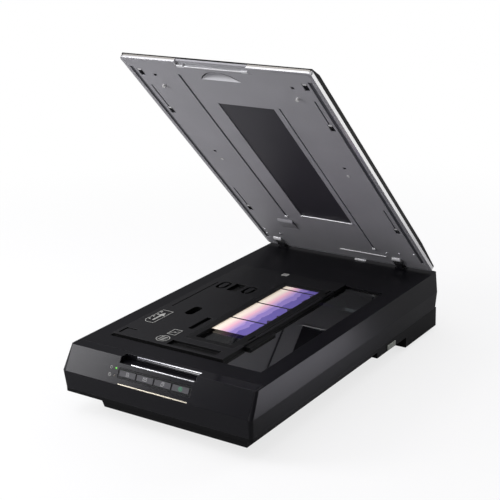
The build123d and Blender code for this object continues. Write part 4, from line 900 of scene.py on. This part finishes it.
def arc(centre_u, centre_v, radius, start=0.0, end=360.0, steps=32):
    """Points along an arc, by angle in degrees."""
    angles = [math.radians(start + (end - start) * step / steps) for step in range(steps + 1)]
    return [(centre_u + radius * math.cos(a), centre_v + radius * math.sin(a)) for a in angles]


def circle(centre_u, centre_v, radius, steps=32):
    return arc(centre_u, centre_v, radius, steps=steps)[:-1]


def rectangle(left, right, low, high):
    return [(left, low), (right, low), (right, high), (left, high)]


def stamp(bm, sheet, strokes, width=0.0, centre=(0.0, 0.0), base=0.0, height=ink_height):
    """Draw strokes, each a kind and its points in millimetres about the centre."""
    for kind, points in strokes:
        places = [(centre[0] + u * mm, centre[1] + v * mm) for u, v in points]
        if kind == "fill":
            slab(bm, sheet, places, base, height)
        else:
            ribbon(bm, sheet, places, width * stroke_width[kind], base, height, closed="loop" in kind)


def piece(name, bm, finish, body, smooth=False):
    """Turn a drawing into an object that rides on a body of the frame."""
    bmesh.ops.recalc_face_normals(bm, faces=bm.faces)
    for face in bm.faces:
        face.smooth = smooth
    mesh = bpy.data.meshes.new(name)
    bm.to_mesh(mesh)
    bm.free()
    mesh.set_sharp_from_angle(angle=crease)
    mesh.materials.append(finish.material)
    made = bpy.data.objects.new(name, mesh)
    scene_objects.link(made)
    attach(made, body)
    return made


print("strokes:", ["fill", *stroke_width])

# %% [markdown]
# ## Signs on the keys
# Each key carries a small pictogram for its job: a page, an envelope, two pages and a green start mark. They
# are printed on the caps and ride on them, so they go in with the key. A texture could hold them, but a
# thin mesh stays sharp when the camera comes close.

# %% Signs on the keys
sign_line = 0.00045
page_sign = [("loop", [(-1.7, -2.3), (1.7, -2.3), (1.7, 1.3), (0.7, 2.3), (-1.7, 2.3)])]
page_sign += [("thin", [(-0.9, row), (0.9, row)]) for row in (-1.0, 0.0, 1.0)]
envelope_sign = [
    ("loop", rectangle(-2.6, 2.6, -1.8, 1.8)),
    ("line", [(-2.3, 1.5), (0.0, -0.3), (2.3, 1.5)]),
]
copies_sign = [
    ("loop", rectangle(-2.0, 0.8, -2.3, 1.2)),
    ("line", [(-0.8, 1.9), (-0.8, 2.3), (2.0, 2.3), (2.0, -1.2), (1.5, -1.2)]),
]
start_sign = [
    ("bold loop", circle(0.0, 0.0, 2.3)),
    ("fill", [(-0.8, -1.2), (1.3, 0.0), (-0.8, 1.2)]),
]
key_signs = {
    "document": (page_sign, key_print),
    "mail": (envelope_sign, key_print),
    "copy": (copies_sign, key_print),
    "start": (start_sign, start_print),
}
for job, (strokes, sign_ink) in key_signs.items():
    low, high = [slope.flat(corner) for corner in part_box(job + "_button")]
    bm = bmesh.new()
    stamp(bm, slope, strokes, sign_line, (low + high) / 2, slope.top_of(job + "_button"))
    piece(job + "_sign", bm, sign_ink, job + "_key")
    print(job, "sign at", round((low.x + high.x) * 500, 1), "mm across")

# %% [markdown]
# ## Signs beside the lights
# Next to each light stands a small printed sign: the power mark, a ring with a bar through its gap, and for
# the fault light a whole ring with a bar and a dot. Both are drawn on the slope, to the left of their light.

# %% Signs beside the lights
sign_shift = Vector((0.0075, 0.0, 0.0))
light_line = 0.0004
light_signs = {
    "power_light": [
        ("line", arc(0.0, 0.0, 1.6, 125.0, 415.0, 24)),
        ("line", [(0.0, 0.4), (0.0, 2.1)]),
    ],
    "error_light": [
        ("loop", circle(0.0, 0.0, 1.8)),
        ("line", [(0.0, -0.2), (0.0, 1.1)]),
        ("line", [(0.0, -1.0), (0.0, -0.6)]),
    ],
}
bm = bmesh.new()
for light_name, strokes in light_signs.items():
    stamp(bm, slope, strokes, light_line, slope.flat(middle_of(light_name)) - sign_shift)
piece("light_signs", bm, print_pale, "base")
print("signs beside", list(light_signs))

# %% [markdown]
# ## Prints on the film holder
# The holder tells its user which way the film goes in. Three pale prints do that: a strip with an arrow, a
# small frame and a round mark with bars; a paper label lies at the back. They ride on the holder, so they
# lift off with it. Their places are millimetres from the middle of the frame.

# %% Prints on the film holder
print_line = 0.0009
label_thickness = 0.0002
holder_prints = [
    ("loop", [(-86.5, -122.5), (-86.5, -80.0), (-102.5, -80.0), (-102.5, -118.0), (-98.0, -122.5)]),
    ("fill", [(-94.5, -115.0), (-91.5, -115.0), (-91.5, -98.0), (-88.0, -98.0), (-93.0, -87.5),
              (-98.0, -98.0), (-94.5, -98.0)]),
    ("loop", rectangle(-49.0, -37.0, -142.0, -126.0)),
    ("thin", [(-47.0, -139.5), (-43.5, -132.5), (-41.5, -136.0), (-39.0, -130.0)]),
    ("loop", circle(-44.0, -157.0, 8.5)),
]
holder_prints += [("fill", rectangle(-100.8, -98.8, v, v + 3.5)) for v in (-114.0, -105.5, -97.0, -88.5)]
holder_prints += [("fill", rectangle(-49.0, -39.0, v, v + 1.6)) for v in (-162.0, -158.0, -154.0)]
bm = bmesh.new()
stamp(bm, holder, holder_prints, print_line)
piece("holder_prints", bm, print_pale, "film_holder")

bm = bmesh.new()
stamp(bm, holder, [("fill", rectangle(-40.5, -31.5, 109.5, 117.5))], height=label_thickness)
piece("holder_label", bm, label_paper, "film_holder")
label_lines = [("fill", rectangle(-39.5, -32.5, v, v + 0.9)) for v in (110.8, 113.0, 115.2)]
bm = bmesh.new()
stamp(bm, holder, label_lines, base=label_thickness)
piece("holder_label_lines", bm, tray_black, "film_holder")
print("holder prints:", len(holder_prints), "strokes at z =", round(holder_top, 4))

# %% [markdown]
# ## Screw heads on the lid panel
# The panel is held along the hinge by small bright screws. A head is a turned shape: a short edge, a domed
# top and a round socket. A Screw modifier could spin it; here it is built ring by ring from its outline,
# so that all heads go into one mesh.

# %% Screw heads on the lid panel
def turned(bm, sheet, centre_u, centre_v, outline, steps=24):
    """A solid of revolution standing on the sheet; outline is radius and height from the edge inwards."""
    rings = []
    for radius, height in outline:
        places = circle(centre_u, centre_v, radius, steps)
        rings.append([bm.verts.new(sheet.at(u, v, height)) for u, v in places])
    for outer, inner in zip(rings, rings[1:]):
        bridge(bm, outer, inner)
    bm.faces.new(rings[0][::-1])
    bm.faces.new(rings[-1])


screw_head = [(0.0017, -0.0002), (0.0017, 0.0003), (0.0015, 0.0007), (0.0009, 0.0009), (0.0006, 0.0009),
              (0.0005, 0.0004)]
screw_places = [(-0.122, 0.044), (-0.124, 0.030), (-0.098, 0.036), (0.077, 0.033), (0.098, 0.038),
                (0.1225, 0.043)]
bm = bmesh.new()
for across, up in screw_places:
    turned(bm, underside, across, up, screw_head)
piece("panel_screws", bm, steel, "lid")
print("panel screws:", len(screw_places))

# %% [markdown]
# ## Finger scoop
# Near the lid's front edge the panel is hollowed for a fingertip. The frame has the hollow with a flat
# floor; this curved skin lies in it. Its height follows a formula: a bank that falls away from the straight
# edge, turned to the light, then a rise to the arc in front. The bank carries a painted highlight: its colour
# fades from near white at the straight edge to the panel's grey. A second layer underneath closes the skin
# into a solid.

# %% Finger scoop
scoop_back = 0.4305
scoop_half = 0.0285
scoop_reach = 0.0165
scoop_depth = 0.0032
scoop_wall = 0.0003
bank = 0.45
end_trim = 0.02
bank_highlight_reach = 0.0090
bank_highlight_grey = (0.86, 0.86, 0.88)
columns, rows = 40, 16


def scoop_finish():
    skin = moulded("scoop_bank_highlight", under_grey, 0.42, specular=0.35, relief=0.00001)
    # Painted highlight: the bank near the straight edge is painted near white, fading to the panel's grey.
    wear_and_highlight = 1 - skin.along(underside.up, underside.at(0.0, scoop_back)).rise(0.0, bank_highlight_reach)
    clouds = skin.noise(0.004, detail=3.0)
    return skin.paint({"Base Color": skin.mix(wear_and_highlight * (0.8 + clouds * 0.2), under_grey, bank_highlight_grey)})


def scoop_fall(share):
    """How deep the skin lies, as a part of its full depth, from the straight edge, 0, to the arc, 1."""
    if share < bank:
        return math.sin(share / bank * math.pi / 2)
    return math.cos((share - bank) / (1 - bank) * math.pi / 2)


def scoop_layer(bm, drop):
    """Columns of vertices over the hollow, this far behind the skin."""
    layer = []
    for column in range(columns + 1):
        turn = math.pi * (end_trim + (1 - 2 * end_trim) * column / columns)
        across = -scoop_half * math.cos(turn)
        taper = 1 - (across / scoop_half) ** 2
        shares = [row / rows for row in range(rows + 1)]
        places = [(scoop_reach * taper * share, -scoop_depth * taper * scoop_fall(share)) for share in shares]
        layer.append([bm.verts.new(underside.at(across, scoop_back + up, z - drop)) for up, z in places])
    return layer


bm = bmesh.new()
front_layer = scoop_layer(bm, 0.0)
back_layer = scoop_layer(bm, scoop_wall)
for layer in (front_layer, back_layer):
    for first, second in zip(layer, layer[1:]):
        bridge(bm, first, second, closed=False)
for column in (0, columns):
    bridge(bm, front_layer[column], back_layer[column], closed=False)
for row in (0, rows):
    front_row, back_row = [[column[row] for column in layer] for layer in (front_layer, back_layer)]
    bridge(bm, front_row, back_row, closed=False)
piece("finger_scoop", bm, scoop_finish(), "lid", smooth=True)
print("finger scoop", round(2 * scoop_half * 1000), "mm wide,", round(scoop_depth * 1000, 1), "mm deep")

# %% [markdown]
# ## Bars on the lid
# Many small bars stand on the lid, each one section swept across it: a list of places up the lid and heights
# above it. A curve with a profile could do that too, but its ends would need closing. The first bar is the
# bright lip behind the lamp window, where the smoked sheet is held.

# %% Bars and the window lip
def bars(name, sheet, sweeps, finish, body, smooth=False):
    """A piece made of bars across a sheet; a sweep is a left end, a right end and a section."""
    bm = bmesh.new()
    for left, right, section in sweeps:
        ends = []
        for across in (left, right):
            ends.append([bm.verts.new(sheet.at(across, up, height)) for up, height in section])
        bridge(bm, *ends)
        bm.faces.new(ends[0][::-1])
        bm.faces.new(ends[1])
    return piece(name, bm, finish, body, smooth)


def half_round(at_up, width, height, base=0.0, steps=10):
    """A half-round section."""
    angles = [math.pi * step / steps for step in range(steps + 1)]
    return [(at_up + width / 2 * math.cos(a), base + height * math.sin(a)) for a in angles]


lip_width = 0.0016
lip_height = 0.0010
lip_overhang = 0.0005
window_low, window_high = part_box("lamp_window")
window_back = min(point.y for point in underside.points_of("lamp_window"))
lip_curve = half_round(window_back - lip_width / 2, lip_width, lip_height)
window_sweep = (window_low.x - lip_overhang, window_high.x + lip_overhang, lip_curve)
bars("window_lip", underside, [window_sweep], lip_silver, "lid", smooth=True)
print("window lip at", round(window_back / mm, 1), "mm from the hinge")

# %% [markdown]
# ## Handle
# The handle plate sits in a notch of the rim. Two fine ribs run across it for grip, and a bright lip with
# thicker ends runs along the notch. Each lip section could be listed whole; here a function adds the foot
# on the plate to a rounded top, so that the middle and the ends share one rule.

# %% Handle
left, right = [corner.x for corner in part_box("lid_handle")]
handle_face = underside.top_of("lid_handle")
handle_rows = [point.y for point in underside.points_of("lid_handle")]
lip_back = min(handle_rows)
lip_foot = lip_back - 0.0002
lip_end = 0.0095
lip_gap = 0.0006
rib_inset = 0.002
lip_top = [(-1.2, 0.0), (-0.8, 0.4), (0.2, 0.5), (0.9, 0.1)]
end_top = [(-1.6, 0.0), (-1.2, 0.9), (1.4, 1.0), (2.4, 0.3)]


def lip_section(top):
    """A rounded top, in millimetres from the notch's edge, and a foot on the plate."""
    section = [(lip_back + place * mm, height * mm) for place, height in top]
    return [*section, (section[-1][0], handle_face), (lip_foot, handle_face)]


rib_rows = [lip_back + (max(handle_rows) - lip_back) * share for share in (0.35, 0.65)]
ribs = [half_round(row, 0.0010, 0.0004, handle_face) for row in rib_rows]
ribs = [(left + rib_inset, right - rib_inset, section) for section in ribs]
bars("handle_ribs", underside, ribs, handle_grey, "lid", smooth=True)
lips = [
    (left + lip_end, right - lip_end, lip_section(lip_top)),
    (left + lip_gap, left + lip_end, lip_section(end_top)),
    (right - lip_end, right - lip_gap, lip_section(end_top)),
]
bars("handle_lip", underside, lips, lip_silver, "lid")
print("handle plate", round(-handle_face / mm, 2), "mm deep, lip at", round(lip_back / mm, 1))

# %% [markdown]
# ## Tabs, ramp and stop
# Pale rolled tabs show where the hinges and the grooves end, with a long thin one between the hinges. A
# small ramp guides the mat that slides in under the panel, and a stop stands on the case behind the lid.
# All are swept bars again; only their sections differ.

# %% Tabs, ramp and stop
hinge_places = (-0.1105, 0.0875)
hinge_tab_half = 0.0065
groove_ends = ((-0.0595, 0.0985), (0.0595, 0.0400))
groove_tab_half = 0.0022
tabs = [(u - hinge_tab_half, u + hinge_tab_half, half_round(0.0180, 0.0085, 0.0027)) for u in hinge_places]
tabs.append((-0.0025, 0.0725, half_round(0.0215, 0.0016, 0.0010)))
tabs += [(u - groove_tab_half, u + groove_tab_half, half_round(v, 0.0036, 0.0016)) for u, v in groove_ends]
bars("panel_tabs", underside, tabs, tab_pale, "lid", smooth=True)

ramp_section = [(0.0605, 0.0), (0.0605, -0.0003), (0.0865, -0.0003), (0.0865, 0.0), (0.0832, 0.0026),
                (0.0818, 0.0027)]
bars("panel_ramp", underside, [(-0.0805, -0.0555, ramp_section)], handle_grey, "lid")

case_sheet = Sheet((0.0, 0.0, case_top), (0.0, 1.0, 0.0))
stop_section = [(0.2268, 0.0), (0.2268, 0.0012), (0.2275, 0.0018), (0.2292, 0.0018), (0.2300, 0.0)]
bars("rear_stop", case_sheet, [(0.0115, 0.0290, stop_section)], lip_silver, "base")
print("tabs:", len(tabs), "and a ramp on the lid, a stop on the case")

# %% [markdown]
# ## Grip rail
# Behind the finger grip runs a polished rail with a rounded top. The frame holds its place with a plain bar.
# A rounded section turns from facing upwards at its top to facing forwards at its foot, so what it mirrors
# runs from the bright ceiling to the dark horizon: that is the long gradient of the real one. Its colour is
# painted dark at the left end, as painted shade from the grip cup's wall, and pale at the right. This piece
# stands in for the bar.

# %% Grip rail
rail_low, rail_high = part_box("grip_ledge")
front_sheet = Sheet((0.0, 0.0, 0.0), (0.0, 0.0, 1.0))
rail_foot = rail_low.z + 0.0008
rail_brow = -rail_high.y + 0.0003
rail_steps = 16
rail_rise = rail_high.z - rail_foot
rail_run = -rail_low.y - rail_brow
section = [(rail_low.z, -rail_low.y), (rail_low.z, -rail_high.y), (rail_high.z, -rail_high.y)]
for step in range(rail_steps + 1):
    turn = math.pi / 2 * (1 - step / rail_steps)
    section.append((rail_foot + rail_rise * math.sin(turn), rail_brow + rail_run * math.cos(turn)))
# Painted light and shade: the rail's colour runs from dark at its left end to pale at its right.
painted_light_gradient = rail_chrome.axes()[0].rise(rail_low.x, rail_high.x)
rail_chrome.paint({"Base Color": rail_chrome.mix(painted_light_gradient, (0.12, 0.12, 0.13), (0.52, 0.52, 0.53))})
sweep = (rail_low.x, rail_high.x, section)
rail = bars("grip_rail", front_sheet, [sweep], rail_chrome, "base", smooth=True)
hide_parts("grip_ledge")
print("grip rail", round((rail_high.x - rail_low.x) / mm), "mm long,", round(rail_rise / mm, 1), "mm round")
